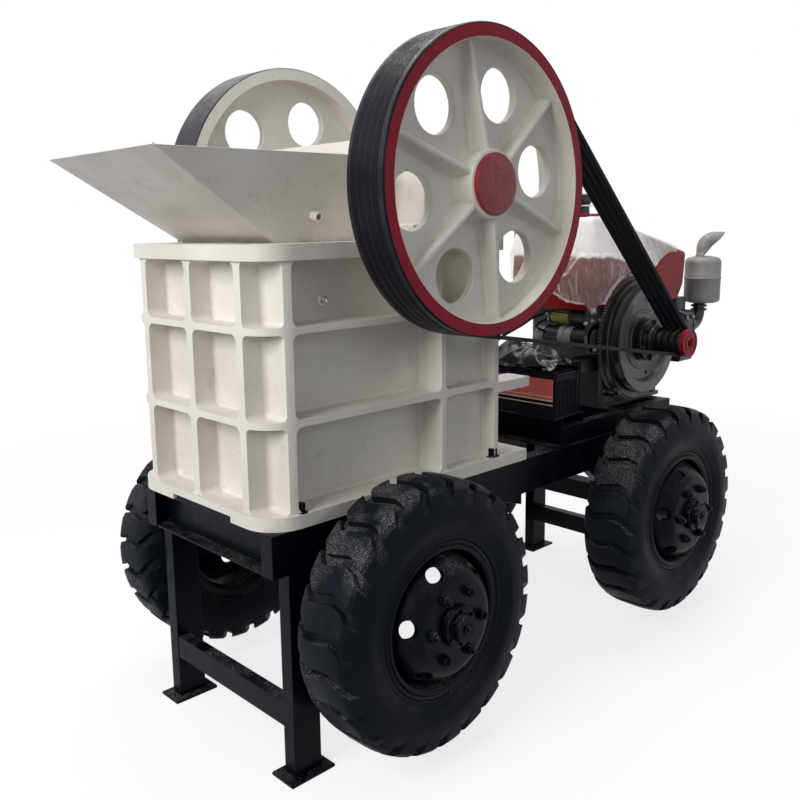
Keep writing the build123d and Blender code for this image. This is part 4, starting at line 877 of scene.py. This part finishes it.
TEETH = 126
TOOTH = ((-0.36, 0.252), (-0.17, 0.2575), (0.17, 0.2575), (0.36, 0.252))
GEAR_WIDE = 0.016
bm = bmesh.new()
teeth = [round_y(CRANK, r, 360 * (k + share) / TEETH) for k in range(TEETH) for share, r in TOOTH]
prism(bm, teeth, Vector((0, EW_FACE + EW_WIDE - GEAR_WIDE, 0)), Vector((0, EW_FACE + EW_WIDE, 0)))
piece("ring_gear", bm, "cast_steel", "engine_drive", slot="engine_grey", sharp=20)

PULLEY_FACE = -0.5015
SQUARE_HALF, SQUARE_OUT, SQUARE_IN = 0.012, -0.53, -0.508
SQUARE_TURN = Matrix.Rotation(math.radians(12), 4, "Y")
COUPLING_BOLT = (0.017, 0.013)
BOLT_CIRCLE, FIRST_BOLT, BOLT_FACE = 0.0755, 20, -0.351
PULLEY_GROOVE = mm(((0, 12.55), (-2.5, 11.45), (-15, 7.15)))
COUPLING = mm(((57, -382), (64, -380), (65.5, -372), (64, -366), (66, -352), (86, -350.5), (88, -348),
               (88, -336), (83, -334), (83, -330), (88, -328), (88, -313), (20, -312)))
PULLEY_END = mm(((0, -515), (22.5, -515), (24, -519), (30, -519.5), (31.5, -516.5), (50, -516.5),
                 (53, -519.5), (56, -519.5), (57, -518), (57, -502), (0, -502)))
pulley = [(0.02, PULLEY_FACE), (PULLEY_R - 0.0005, PULLEY_FACE)]
for y in BELT_Y:
    pulley += [(PULLEY_R + dip, y - wide) for dip, wide in PULLEY_GROOVE]
    pulley += [(PULLEY_R + dip, y + wide) for dip, wide in reversed(PULLEY_GROOVE)]
ring_piece("pulley_grooves", CRANK, pulley + COUPLING, "engine_black", "engine_drive", 72, 24,
           replaces=("engine_pulley",))
end = ring_piece("pulley_end", CRANK, PULLEY_END, "dark_red_paint", "engine_drive", 72)
square = bmesh.new()
box(square, CRANK + Vector((-SQUARE_HALF, SQUARE_OUT, -SQUARE_HALF)),
    CRANK + Vector((SQUARE_HALF, SQUARE_IN, SQUARE_HALF)), SQUARE_TURN)
cut(end, square)
bm = bmesh.new()
for k in range(6):
    nut(bm, round_y(CRANK, BOLT_CIRCLE, 60 * k + FIRST_BOLT, BOLT_FACE), (0, -1, 0), *COUPLING_BOLT)
piece("coupling_bolts", bm, "engine_black", "engine_drive", bevel=0.0006)


# Muffler, spout and elbow; heights are measured from the can's foot.
CAN_LOW, CAN_HIGH = span("muffler")
MUFFLER = at((CAN_LOW.x + CAN_HIGH.x) / 2, (CAN_LOW.y + CAN_HIGH.y) / 2, CAN_LOW.z)
CAN_LONG = 0.218
SEAM = 0.117
CAN_FOOT = mm(((0, 0), (34, 0), (36, 2.5), (58, 3), (72, 7), (78.5, 14), (80, 23)))
CAN_SEAM = mm(((80, -5.5), (81.2, -4), (83, 0), (81.2, 4), (80, 5.5)))
CAN_HEAD = mm(((80, -32), (78.5, -22), (74, -13.5), (66, -7.5), (52, -3.5), (38, -2), (34, 0), (0, 0)))
BEADS = (0.0215, CAN_LONG - 0.0305)
CAN_BEAD = mm(((79, -1.2), (80.6, -0.4), (80.6, 0.4), (79, 1.2)))
bm = bmesh.new()
can = [*CAN_FOOT, *shifted(SEAM, CAN_SEAM), *shifted(CAN_LONG, CAN_HEAD)]
spun(bm, can, Matrix.Translation(MUFFLER), 96)
for height in BEADS:
    spun(bm, shifted(height, CAN_BEAD), Matrix.Translation(MUFFLER), 96, loop=True)
piece("muffler_can", bm, "muffler_silver", sharp=40, replaces=("muffler",))

SPOUT_TURN = math.radians(-42)
SPOUT_R = 0.0325
SPOUT_FLARE = 0.006
SPOUT_BEND = 0.046
SPOUT_KNEE = CAN_LONG + 0.031
SPOUT_FOOT = CAN_LONG - 0.004
SPOUT_SIDES = 40
SPOUT_WALL = 0.0022
line = [(0.0, SPOUT_FOOT + k * (SPOUT_KNEE - SPOUT_FOOT) / 3) for k in range(4)]
line += arc(SPOUT_BEND, SPOUT_KNEE, SPOUT_BEND, 171, 90, 9)
line += [(SPOUT_BEND + 0.012 * k, SPOUT_KNEE + SPOUT_BEND) for k in range(1, 8)]
level = Vector((math.cos(SPOUT_TURN), math.sin(SPOUT_TURN), 0))
across = Vector((-math.sin(SPOUT_TURN), math.cos(SPOUT_TURN), 0))
bm = bmesh.new()
rings = []
for k, (u, z) in enumerate(line):
    a, b = line[max(k - 1, 0)], line[min(k + 1, len(line) - 1)]
    up = (level * (b[0] - a[0]) + Vector((0, 0, b[1] - a[1]))).normalized().cross(across)
    centre = MUFFLER + level * u + Vector((0, 0, z))
    wide = SPOUT_R if k else SPOUT_R + SPOUT_FLARE
    rings.append([bm.verts.new(centre + (across * math.cos(t) + up * math.sin(t)) * wide)
                  for t in (2 * math.pi * i / SPOUT_SIDES for i in range(SPOUT_SIDES))])
bridge(bm, rings)
mouth = MUFFLER + Vector((0, 0, SPOUT_KNEE + SPOUT_BEND + SPOUT_R)) + level * 0.092
mouth_out = level * 0.72 + Vector((0, 0, -0.69))
bmesh.ops.bisect_plane(bm, geom=bm.verts[:] + bm.edges[:] + bm.faces[:], plane_co=mouth, plane_no=mouth_out,
                       clear_outer=True)
spout = piece("muffler_spout", bm, "muffler_silver", sharp=60)
wall = spout.modifiers.new("wall", "SOLIDIFY")
wall.thickness = SPOUT_WALL
wall.offset = -1

HEAD_X = span("cylinder_head")[1].x
ELBOW_X = span("exhaust_elbow")[1].x - 0.026
PORT_Y, PORT_Z = MUFFLER.y, 1.107
PORT_FLANGE = mm(((-18, 0), (-12, -26), (0, -34), (12, -26), (34, 0), (12, 26), (0, 34), (-12, 26)))
ELBOW_LINE = ((HEAD_X + 0.002, 0), (HEAD_X + 0.026, 0), (ELBOW_X - 0.032, 0.009), (ELBOW_X - 0.009, 0.032),
              (ELBOW_X, 0.06), (ELBOW_X, 0.08), (ELBOW_X, MUFFLER.z - 0.0005 - PORT_Z))
ELBOW_RING = mm(((20, 0), (36, 0), (36, 9), (20, 9)))
bm = bmesh.new()
pipe(bm, [at(x, PORT_Y, PORT_Z + rise) for x, rise in ELBOW_LINE], 0.026, 32, 6)
for z in (MUFFLER.z - 0.032, MUFFLER.z - 0.014):
    spun(bm, ELBOW_RING, Matrix.Translation(at(ELBOW_X, PORT_Y, z)), 40, loop=True)
prism(bm, [at(HEAD_X, PORT_Y + y, PORT_Z + z) for y, z in PORT_FLANGE], Vector((0.0005, 0, 0)),
      Vector((0.012, 0, 0)))
piece("exhaust_pipe", bm, "engine_black", bevel=0.0012, sharp=40, replaces=("exhaust_elbow",))
PORT_NUT = (0.017, 0.012, 0.005)
PORT_NUTS_AT = [at(HEAD_X + 0.012, PORT_Y + y, PORT_Z + z)
                for y, z in ((-0.014, 0.017), (-0.014, -0.017), (0.018, 0.017))]
HEAD_SIDE_NUT = (0.019, 0.012)
HEAD_SIDE_NUTS_AT = [at(HEAD_X + x, -0.262, z) for x in (-0.02, -0.075) for z in (1.15, 1.072)]
bm = bmesh.new()
for place in PORT_NUTS_AT:
    nut(bm, place, (1, 0, 0), *PORT_NUT)
for place in HEAD_SIDE_NUTS_AT:
    nut(bm, place, (0, -1, 0), *HEAD_SIDE_NUT)
piece("exhaust_bolts", bm, "engine_bolt", bevel=0.0006)


# Starter motor and its solenoid, turned about their own Y axes.
def axis_of(name):
    """Middle of a CAD node's section, on the chassis middle."""
    low, high = span(name)
    return at((low.x + high.x) / 2, 0, (low.z + high.z) / 2)


def offsets(centre, *places):
    """Points given from a centre."""
    return [centre + Vector(place) for place in places]


STARTER = axis_of("starter_motor")
SOLENOID = axis_of("starter_solenoid")
STARTER_BODY = mm(((0, -236.5), (46, -236.5), (46, -218), (42, -214), (42, -26), (0, -26)))
STARTER_BANDS = mm(((38, -160), (45.5, -159), (45.5, -126), (43.5, -125), (43.5, -122), (45.8, -121),
                    (45.8, -97), (38, -96)))
END_BELL = mm(((0, -26), (45, -26), (45.8, -18), (45.5, 0), (43, 13), (37, 23), (28, 28.5), (0, 30)))
STARTER_MOUNT = mm(((40, -250), (59, -250), (61, -248), (61, -238), (59, -236), (40, -236)))
SOLENOID_BODY = mm(((0, -237), (29.8, -237), (29.8, -196), (28.5, -192), (28.5, -136), (0, -136)))
SOLENOID_LABEL = mm(((0, -136.5), (28.5, -136.5), (29.7, -134.5), (29.7, -55), (28.5, -53), (0, -53)))
SOLENOID_CAP = mm(((0, -53.2), (28, -53.2), (28.5, -44), (24, -36), (0, -34.5)))
ring_piece("starter_body", STARTER, STARTER_BODY, "engine_black", replaces=("starter_motor",))
ring_piece("starter_bands", STARTER, STARTER_BANDS, "muffler_silver")
ring_piece("starter_end_bell", STARTER, END_BELL, "muffler_silver", sharp=32)
ring_piece("starter_mount", STARTER, STARTER_MOUNT, "cast_steel", slot="engine_grey")
LONG_BOLTS_R, LONG_BOLT_R, LONG_BOLT_NUT = 0.044, 0.0022, (0.008, 0.006)
# (x, z, width) of the nuts on the mounting plate, and the one on its edge.
PLATE_NUTS = ((-0.232, 1.196, 0.011), (-0.29, 1.198, 0.011), (-0.27, 1.082, 0.013), (-0.285, 1.236, 0.02))
EDGE_NUT, EDGE_NUT_AT = (0.014, 0.008), by_crank(-0.3185, -0.244, 1.19)
bm = bmesh.new()
for degrees in (35, 215):
    side = round_y(Vector(), LONG_BOLTS_R, degrees)
    rod(bm, STARTER + side + Vector((0, -0.2, 0)), STARTER + side + Vector((0, 0.01, 0)), LONG_BOLT_R, 8)
    nut(bm, STARTER + side * 0.92 + Vector((0, 0.01, 0)), (0, 1, 0), *LONG_BOLT_NUT)
for x, z, w in PLATE_NUTS:
    nut(bm, by_crank(x, -0.2505, z), (0, -1, 0), w, w * 0.6, washer=w * 0.75)
nut(bm, EDGE_NUT_AT, (-1, 0, 0), *EDGE_NUT)
piece("starter_bolts", bm, "bright_steel", slot="engine_grey", bevel=0.0004)
ring_piece("solenoid_body", SOLENOID, SOLENOID_BODY, "engine_black", segments=40,
           replaces=("starter_solenoid",))
ring_piece("solenoid_label", SOLENOID, SOLENOID_LABEL, "label_yellow", segments=40)
ring_piece("solenoid_cap", SOLENOID, SOLENOID_CAP, "engine_black", segments=40)
bm = bmesh.new()
for root in offsets(SOLENOID, (-0.012, -0.0348, 0.01), (0.013, -0.0348, 0.008), (0.0, -0.0348, -0.014)):
    rod(bm, root, root + Vector((0, 0.02, 0)), 0.0035, 12)
    nut(bm, root + Vector((0, 0.002, 0)), (0, 1, 0), 0.014, 0.006, washer=0.01)
    nut(bm, root + Vector((0, 0.0125, 0)), (0, 1, 0), 0.012, 0.005)
piece("solenoid_terminals", bm, "bright_steel", slot="engine_grey", bevel=0.0004)

# Battery.
BATTERY_LOW, BATTERY_HIGH = span("battery")
TRAY_Z = BATTERY_LOW.z
LID_Z = TRAY_Z + 0.142
LID_TOP = LID_Z + 0.024
CELL_CAP = mm(((0, 0), (11, 0), (11, 5.5), (9, 7), (0, 7)))
TERMINAL = mm(((0, 0), (10.5, 0), (9, 17), (0, 17)))


def from_low(x, y, z):
    """Point measured from the battery's low corner, at a height."""
    return at(BATTERY_LOW.x + x, BATTERY_LOW.y + y, z)


def from_high(x, y, z):
    """Point measured back from the battery's high corner, at a height."""
    return at(BATTERY_HIGH.x - x, BATTERY_HIGH.y - y, z)


bm = bmesh.new()
box(bm, from_low(0.004, 0.006, TRAY_Z + 0.0002), from_high(0.004, 0.004, LID_Z + 0.0065))
for k in range(9):
    x = 0.018 + 0.017 * k
    box(bm, from_low(x - 0.0035, 0.003, TRAY_Z + 0.01), from_low(x + 0.0035, 0.008, LID_Z - 0.008))
for x, y, low, high in ((0.0005, 0.0005, -0.018, -0.0115), (0.003, 0.003, -0.012, 0.0),
                        (0.022, 0.014, -0.001, 0.006)):
    box(bm, from_low(x, y, LID_TOP + low), from_high(x, y, LID_TOP + high))
for k in range(6):
    spun(bm, CELL_CAP, Matrix.Translation(from_low(0.105, 0.04 + 0.05 * k, LID_TOP + 0.005)), 20)
piece("battery_case", bm, "battery_case", bevel=0.0018, replaces=("battery",))
bm = bmesh.new()
for y in (0.05, BATTERY_HIGH.y - BATTERY_LOW.y - 0.05):
    spun(bm, TERMINAL, Matrix.Translation(from_low(0.036, y, LID_TOP + 0.005)), 20)
    box(bm, from_low(0.02, y - 0.014, LID_TOP + 0.0095), from_low(0.052, y + 0.014, LID_TOP + 0.0165))
    nut(bm, from_low(0.018, y + 0.004, LID_TOP + 0.013), (-1, 0, 0), 0.01, 0.006)
piece("battery_terminals", bm, "bright_steel", slot="battery_case", bevel=0.0008)
LABEL_LONG = BATTERY_HIGH.y - BATTERY_LOW.y
bm = bmesh.new()
box(bm, from_low(0.0028, 0.004, TRAY_Z + 0.069), from_low(0.0045, LABEL_LONG - 0.03, LID_Z + 0.004))
piece("battery_label", bm, "label_red", bevel=0.0004)
bm = bmesh.new()
for z, high in ((0.078, 0.003), (0.063, 0.005), (0.047, 0.0035)):
    box(bm, from_low(0.0018, 0.005, TRAY_Z + z), from_low(0.0042, LABEL_LONG - 0.034, TRAY_Z + z + high))
piece("battery_label_stripes", bm, "label_pale")
CLAMP_LOW, CLAMP_TOP = LID_TOP + 0.0005, LID_TOP + 0.0105
ROD_R = 0.0032
bm = bmesh.new()
box(bm, from_low(0.004, 0.002, CLAMP_LOW), from_low(0.014, LABEL_LONG - 0.002, CLAMP_TOP))
box(bm, from_high(0.014, LABEL_LONG - 0.002, CLAMP_LOW), from_high(0.004, 0.002, CLAMP_TOP))
box(bm, from_low(0.004, 0.15, LID_TOP + 0.0065), from_high(0.004, LABEL_LONG - 0.162, CLAMP_TOP))
for corner, y in ((from_low, -0.0035), (from_low, LABEL_LONG + 0.004), (from_high, -0.004),
                  (from_high, LABEL_LONG + 0.0035)):
    rod(bm, corner(0.009, y, TRAY_Z - 0.006), corner(0.009, y, LID_TOP + 0.018), ROD_R, 10)
piece("battery_hold_down", bm, "black_paint", slot="battery_case", bevel=0.001)


# Cables from the battery and starter.
def cable(name, points, radius, slot):
    bm = bmesh.new()
    pipe(bm, points, radius, 12, 10)
    made = piece(name, bm, "battery_case", slot=slot, sharp=60)


POST = from_low(0.036, LABEL_LONG - 0.05, LID_TOP + 0.02)
from_post = offsets(POST, (0, 0, 0), (-0.022, 0.012, 0.028), (0.05, 0.05, 0.075), (0.2, 0.05, 0.12))
cable("battery_cable", from_post + offsets(SOLENOID, (-0.045, 0.022, -0.006), (-0.012, -0.0165, 0.012)),
      0.0055, "battery_case")
cable("starter_wire", offsets(SOLENOID, (0.013, -0.015, 0.01), (0.008, 0.004, 0.02), (-0.014, 0.008, 0.027),
                              (-0.038, -0.014, 0.028), (-0.051, -0.08, 0.025), (-0.056, -0.165, 0.022),
                              (-0.048, -0.2375, 0.018)), 0.0035, "engine_grey")
cable("motor_lead", offsets(SOLENOID, (0.0, -0.016, -0.014), (-0.02, 0.012, -0.03))
      + offsets(STARTER, (-0.045, 0.004, 0.034), (-0.04, -0.03, 0.0205)), 0.0045, "engine_grey")

# Block, head and hood details.
FAN_BOSS = mm(((0, 0), (28, 0), (32, 6), (32, 50), (22, 62), (0, 62)))
COVER_BOLT = (0.015, 0.009, 0.0, 0.011)
COVER_BOLTS_AT = [by_crank(x, -0.2402, z) for x, z in (
    (-0.178, 1.215), (-0.178, 1.02), (-0.178, 0.9), (0.238, 1.215), (0.238, 0.9), (0.17, 1.225),
    (0.06, 1.228), (-0.03, 1.228), (-0.12, 1.225))]
FOOT_BOLT = (0.016, 0.01, 0.005)
FOOT_BOLTS_AT = [by_crank(x, -0.232, 0.842) for x in (-0.15, -0.03, 0.09, 0.21)]
HEAD_BOLT = (0.019, 0.013)
HEAD_BOLTS_AT = [at(HEAD_X, y, z) for y in (-0.15, -0.02, 0.06) for z in (0.98, 1.08, 1.15)]
bm = bmesh.new()
for places, direction, size in ((COVER_BOLTS_AT, (0, -1, 0), COVER_BOLT),
                                (FOOT_BOLTS_AT, (0, 0, 1), FOOT_BOLT),
                                (HEAD_BOLTS_AT, (1, 0, 0), HEAD_BOLT)):
    for place in places:
        nut(bm, place, direction, *size)
piece("engine_bolts", bm, "engine_bolt", bevel=0.0005)
bm = bmesh.new()
sideways = Matrix.Translation(by_crank(-0.14, -0.236, 0.905)) @ Matrix.Rotation(math.radians(90), 4, "X")
spun(bm, FAN_BOSS, sideways, 32)
box(bm, by_crank(0.26, -0.236, 1.02), by_crank(0.4, -0.206, 1.13))
for k in range(5):
    box(bm, by_crank(0.255, -0.242, 1.035 + 0.02 * k), by_crank(0.405, -0.236, 1.041 + 0.02 * k))
box(bm, by_crank(-0.33, -0.235, 0.99), by_crank(-0.195, -0.15, 1.04))
piece("engine_side_covers", bm, "engine_black", bevel=0.002)
FUEL_LINE = mm(((270, -245, 1135), (290, -254, 1165), (370, -256, 1185), (430, -266.5, 1170),
                (470, -267, 1130)))
DRAIN_LINE = mm(((-170, -246, 930), (-165, -249, 1020), (-140, -249, 1100), (-90, -247, 1150)))
bm = bmesh.new()
for line, radius in ((FUEL_LINE, 0.0032), (DRAIN_LINE, 0.0045)):
    pipe(bm, [by_crank(*point) for point in line], radius, 10, 8)
piece("fuel_pipes", bm, "engine_bolt", sharp=60)

NECK_LOW, NECK_HIGH = span("radiator_neck")
NECK_MIDDLE = (NECK_LOW + NECK_HIGH) / 2
NECK_FOOT = Matrix.Translation(at(NECK_MIDDLE.x + 0.014, NECK_MIDDLE.y, NECK_LOW.z))
NECK = mm(((0, 0.5), (58, 0.5), (58, 10), (36, 14), (34, 30), (34, 54), (40, 58), (40, 62), (44, 64),
           (44.5, 68), (44.5, 84), (41, 90), (20, 93.5), (0, 93.5)))
bm = bmesh.new()
spun(bm, NECK, NECK_FOOT, 48)
piece("filler_neck", bm, "engine_black", replaces=("radiator_neck",))
bm = bmesh.new()
for low, high in ((0.046, 0.0515), (0.0915, 0.0965)):
    ring = ((0.035, low), (0.0462, low), (0.047, (low + high) / 2), (0.0462, high), (0.035, high))
    spun(bm, ring, NECK_FOOT, 48, loop=True)
piece("neck_rings", bm, "bright_steel", slot="engine_grey")
bm = bmesh.new()
box(bm, at(NECK_LOW.x - 0.012, NECK_LOW.y - 0.03, NECK_LOW.z + 0.0004),
    at(NECK_HIGH.x + 0.058, NECK_HIGH.y + 0.02, NECK_LOW.z + 0.017))
piece("neck_plate", bm, "dark_red_paint", slot="hood_red", bevel=0.004)

# Thin film thrown over the hood.
HOOD_FRONT = span("engine_hood")[0].x + 0.01
HOOD_NEAR = -0.24
HOOD_LINE = ((HOOD_FRONT, 1.6), (HOOD_FRONT + 0.095, 1.6), (HOOD_FRONT + 0.762, 1.446))
# The film leans out over a first length, then hangs: shares of its length that it falls and stands out.
SLOPE = 0.165
SLOPE_FALL, SLOPE_OUT = 0.91, 0.4
HANG_FALL, HANG_IN = 0.98, 0.17
NEAR_HANG = mm(((0, 337), (50, 340), (90, 334), (150, 300), (220, 256), (280, 215), (360, 160), (440, 122),
                (500, 85), (560, 50), (600, 36), (660, 24)))
FRONT_HANG = mm(((0, 337), (47, 334), (80, 328), (130, 300), (196, 262), (300, 250), (360, 240)))
NEAR_LEAN = ((0.0, 1.0), (0.28, 0.95), (0.5, 0.45), (0.66, 0.3))
NEAR_BREAK = mm(((0, 152), (100, 168), (280, 196), (500, 210)))
FRONT_BREAK = mm(((0, 152), (37, 190), (93, 235), (187, 247), (360, 250)))
# Most that the film may stand out at a distance from the crank, clear of the engine flywheel.
WHEEL_CLEAR = mm(((272, 8.5), (315, 80)))
BREAK_WIDE = 0.006


def rumple(s, t, size, amount):
    """Folds like crumpled film: sharp ridges over soft ones."""
    p = Vector((s * size, t * size, 0.37))
    sharp = 1.0 - abs(noise.noise(p * 2.3)) * 2.2
    fine = 1.0 - abs(noise.noise(p * 6.1 + Vector((3.1, 1.7, 0)))) * 2.0
    soft = noise.noise(p) * 0.9
    return amount * max(0.0, 0.5 + 0.34 * sharp + 0.16 * fine + 0.45 * soft)


def down_film(drop):
    """Distance along the film to a drop below the hood's top."""
    knee = SLOPE_FALL * SLOPE
    return min(drop, knee) / SLOPE_FALL + max(0.0, drop - knee) / HANG_FALL


def film_point(s, t):
    """Place of the film's flat point (s, t), both measured from over the hood's near front corner."""
    if s >= 0 and t >= 0:
        x = HOOD_FRONT + s
        edge = min(1.0, min(s, t) / 0.06)
        lift = 0.0012 + rumple(s, t, 7.0, 0.013)
        return at(x, HOOD_NEAR + t, between(HOOD_LINE, x) + 0.0012 + lift * (0.12 + 0.88 * edge))
    down = math.hypot(min(s, 0), min(t, 0))
    turn = math.atan2(-min(s, 0), -min(t, 0))
    along = max(s, t, 0)
    slope = min(down, SLOPE)
    rest = down - slope
    drop = SLOPE_FALL * slope + HANG_FALL * rest
    share = between(NEAR_LEAN, s) if s >= 0 else 1.0
    line = between(NEAR_BREAK, s) if s >= 0 else between(FRONT_BREAK, t)
    out = 0.004 + share * (SLOPE_OUT * slope - HANG_IN * rest)
    out += 0.004 * noise.noise(Vector((along * 9, down * 9, turn)))
    loose = min(1.0, rest / 0.04)
    gather = 1.0 - abs(noise.noise(Vector((along * 26, turn * 3, down * 4.0)))) * 2.4
    out += loose * (0.009 * max(0.0, gather) + 0.005 * noise.noise(Vector((along * 60, turn * 6, down * 9))))
    if rest > 0:
        past = (drop - line) / BREAK_WIDE
        out += 0.008 * math.exp(-past ** 2) + 0.007 / (1 + math.exp(-past))
    x = HOOD_FRONT + max(s, 0)
    z = between(HOOD_LINE, x) + 0.0018 - drop
    if s >= 0:
        out = min(out, between(WHEEL_CLEAR, math.hypot(FRONT_X + x - CRANK.x, z - CRANK.z)))
    lean = Vector((-math.sin(turn), -math.cos(turn), 0))
    return at(x, HOOD_NEAR + max(t, 0), z) + lean * max(out, 0.0035)


TOP_LONG, TOP_WIDE = 69, 36
TOP_STEP_S, TOP_STEP_T = 0.0095, 0.0097
SIDE_ROWS = 30
CORNER_EXTRA = 0.035


def film_sheet():
    """The film over the top, down the two seen sides and round their corner, and its flat area."""
    bm = bmesh.new()
    flat = 0.0
    grid = {}

    def flat_place(i, j):
        s, t = i * TOP_STEP_S, j * TOP_STEP_T
        if i >= 0 and j >= 0:
            return s, t
        if i >= 0:
            return s, down_film(between(NEAR_HANG, s)) * j / SIDE_ROWS
        if j >= 0:
            return down_film(between(FRONT_HANG, t)) * i / SIDE_ROWS, t
        turn = math.atan2(-i, -j)
        share = math.sin(turn) ** 2
        reach = down_film(between(NEAR_HANG, 0)) * (1 - share) + down_film(between(FRONT_HANG, 0)) * share
        reach = (reach + CORNER_EXTRA * math.sin(2 * turn) ** 2) * max(-i, -j) / SIDE_ROWS
        return -reach * math.sin(turn), -reach * math.cos(turn)

    def place(i, j):
        if (i, j) not in grid:
            s, t = flat_place(i, j)
            grid[(i, j)] = (bm.verts.new(film_point(s, t)), s, t)
        return grid[(i, j)]

    for i in range(-SIDE_ROWS, TOP_LONG):
        for j in range(-SIDE_ROWS, TOP_WIDE):
            cells = [place(i, j), place(i + 1, j), place(i + 1, j + 1), place(i, j + 1)]
            bm.faces.new([corner[0] for corner in cells])
            a, b, c, d = [corner[1:] for corner in cells]
            flat += abs((c[0] - a[0]) * (d[1] - b[1]) - (c[1] - a[1]) * (d[0] - b[0])) / 2
    return piece("hood_film", bm, "film", sharp=180, replaces=("film_cover",)), flat


# Sharp folds and the hem: (distance along the edge, drop below the hood's top).
FRONT_CREASES = mm((((0, 152), (20, 170), (37, 190), (60, 214), (93, 235), (140, 243), (187, 247)),
                    ((0, 335), (47, 332), (80, 326), (105, 314), (130, 299), (165, 279), (196, 261)),
                    ((20, 200), (26, 245), (24, 300)), ((62, 240), (50, 290), (52, 325)),
                    ((125, 250), (105, 280), (98, 308)), ((30, 158), (90, 163), (150, 168))))
NEAR_CREASES = mm((((0, 152), (50, 160), (100, 170), (200, 186), (280, 196)),
                   ((0, 335), (50, 338), (90, 332), (150, 299), (220, 255)),
                   ((22, 165), (34, 200), (30, 262)), ((80, 182), (102, 205), (90, 250), (94, 300)),
                   ((128, 186), (112, 225), (122, 280)), ((196, 192), (206, 212), (200, 240)),
                   ((160, 190), (152, 230), (160, 262))))
CREASE_STEPS = 24
LONG_CREASE, SHORT_CREASE = 0.0052, 0.003


def film_crease_highlights():
    """Sharp folds and the rolled hem, as pale ribbons: painted highlights where they catch the light."""
    bm = bmesh.new()
    for lines, out in ((FRONT_CREASES, Vector((-1, 0, 0))), (NEAR_CREASES, Vector((0, -1, 0)))):
        for line in lines:
            tables = [[(i / (len(line) - 1), point[axis]) for i, point in enumerate(line)]
                      for axis in (0, 1)]
            places = []
            for k in range(CREASE_STEPS + 1):
                along, drop = (between(table, k / CREASE_STEPS) for table in tables)
                flat = (-down_film(drop), along) if out.x else (along, -down_film(drop))
                places.append(film_point(*flat) + out * 0.0006)
            rings = []
            for k, spot in enumerate(places):
                run = (places[min(k + 1, CREASE_STEPS)] - places[max(k - 1, 0)]).normalized()
                side = run.cross(out).normalized()
                swell = math.sin(math.pi * min(0.96, max(0.04, k / CREASE_STEPS))) ** 0.5
                wide = (LONG_CREASE if len(line) > 4 else SHORT_CREASE) * (0.35 + 0.65 * swell)
                steps = (-side * wide, out * wide * 0.9, side * wide)
                rings.append([bm.verts.new(spot + step) for step in steps])
            bridge(bm, rings, closed=False)
    piece("hood_film_crease_highlights", bm, "film_crease", sharp=180)


film, film_area = film_sheet()
film_crease_highlights()

WRAP_ROWS, WRAP_COLUMNS = 60, 80
WRAP_WIDE, WRAP_LONG = 0.176, 0.335


def battery_wrap():
    """Crumpled dark film lying on the battery; its material paints highlights on the tops."""
    bm = bmesh.new()
    rows = []
    for i in range(WRAP_ROWS + 1):
        row = []
        for j in range(WRAP_COLUMNS + 1):
            u, v = i / WRAP_ROWS, j / WRAP_COLUMNS
            x = u * WRAP_WIDE - 0.006 + 0.012 * noise.noise(Vector((v * 4, 0.3, u)))
            y = v * WRAP_LONG - 0.004 + 0.014 * noise.noise(Vector((u * 3, 0.9, v)))
            mound = max(0.0, math.sin(math.pi * u)) ** 0.6
            mound *= 0.35 + 0.65 * max(0.0, math.sin(math.pi * v)) ** 0.7
            swell = noise.noise(Vector((u * 2.1, v * 4.2, 0.6)))
            ridge = 1.0 - abs(noise.noise(Vector((u * 3.1 + 4, v * 5.6, 2.2)))) * 2.6
            heap = 0.04 + 0.045 * max(0.0, v - 0.2) + 0.026 * swell + 0.018 * max(0.0, ridge)
            z = LID_TOP + 0.022 + mound * heap + 0.006 * max(0.0, swell) + 0.004 * max(0.0, ridge)
            row.append(bm.verts.new(from_low(x, y, z)))
        rows.append(row)
    bridge(bm, rows, closed=False)
    return piece("battery_film", bm, "dark_film", sharp=180)


wrap = battery_wrap()

SOFT_EDGES = {
    0.001: ("hopper_front_plate", "hopper_near_plate", "hopper_far_plate", "hopper_rear_plate"),
    0.002: ("rail_near", "rail_far", "cross_beams", "leg_braces", "engine_subframe", "axle_front",
            "axle_rear"),
    0.0025: ("front_legs", "rear_legs"),
    0.003: ("engine_block", "cylinder_head"),
    0.004: ("crusher_front_frame", "crusher_rear_frame", "crusher_side_frame_near",
            "crusher_side_frame_far"),
    0.005: ("bearing_housing_near", "bearing_housing_far"),
}
for width, names in SOFT_EDGES.items():
    for name in names:
        soften(name, width)
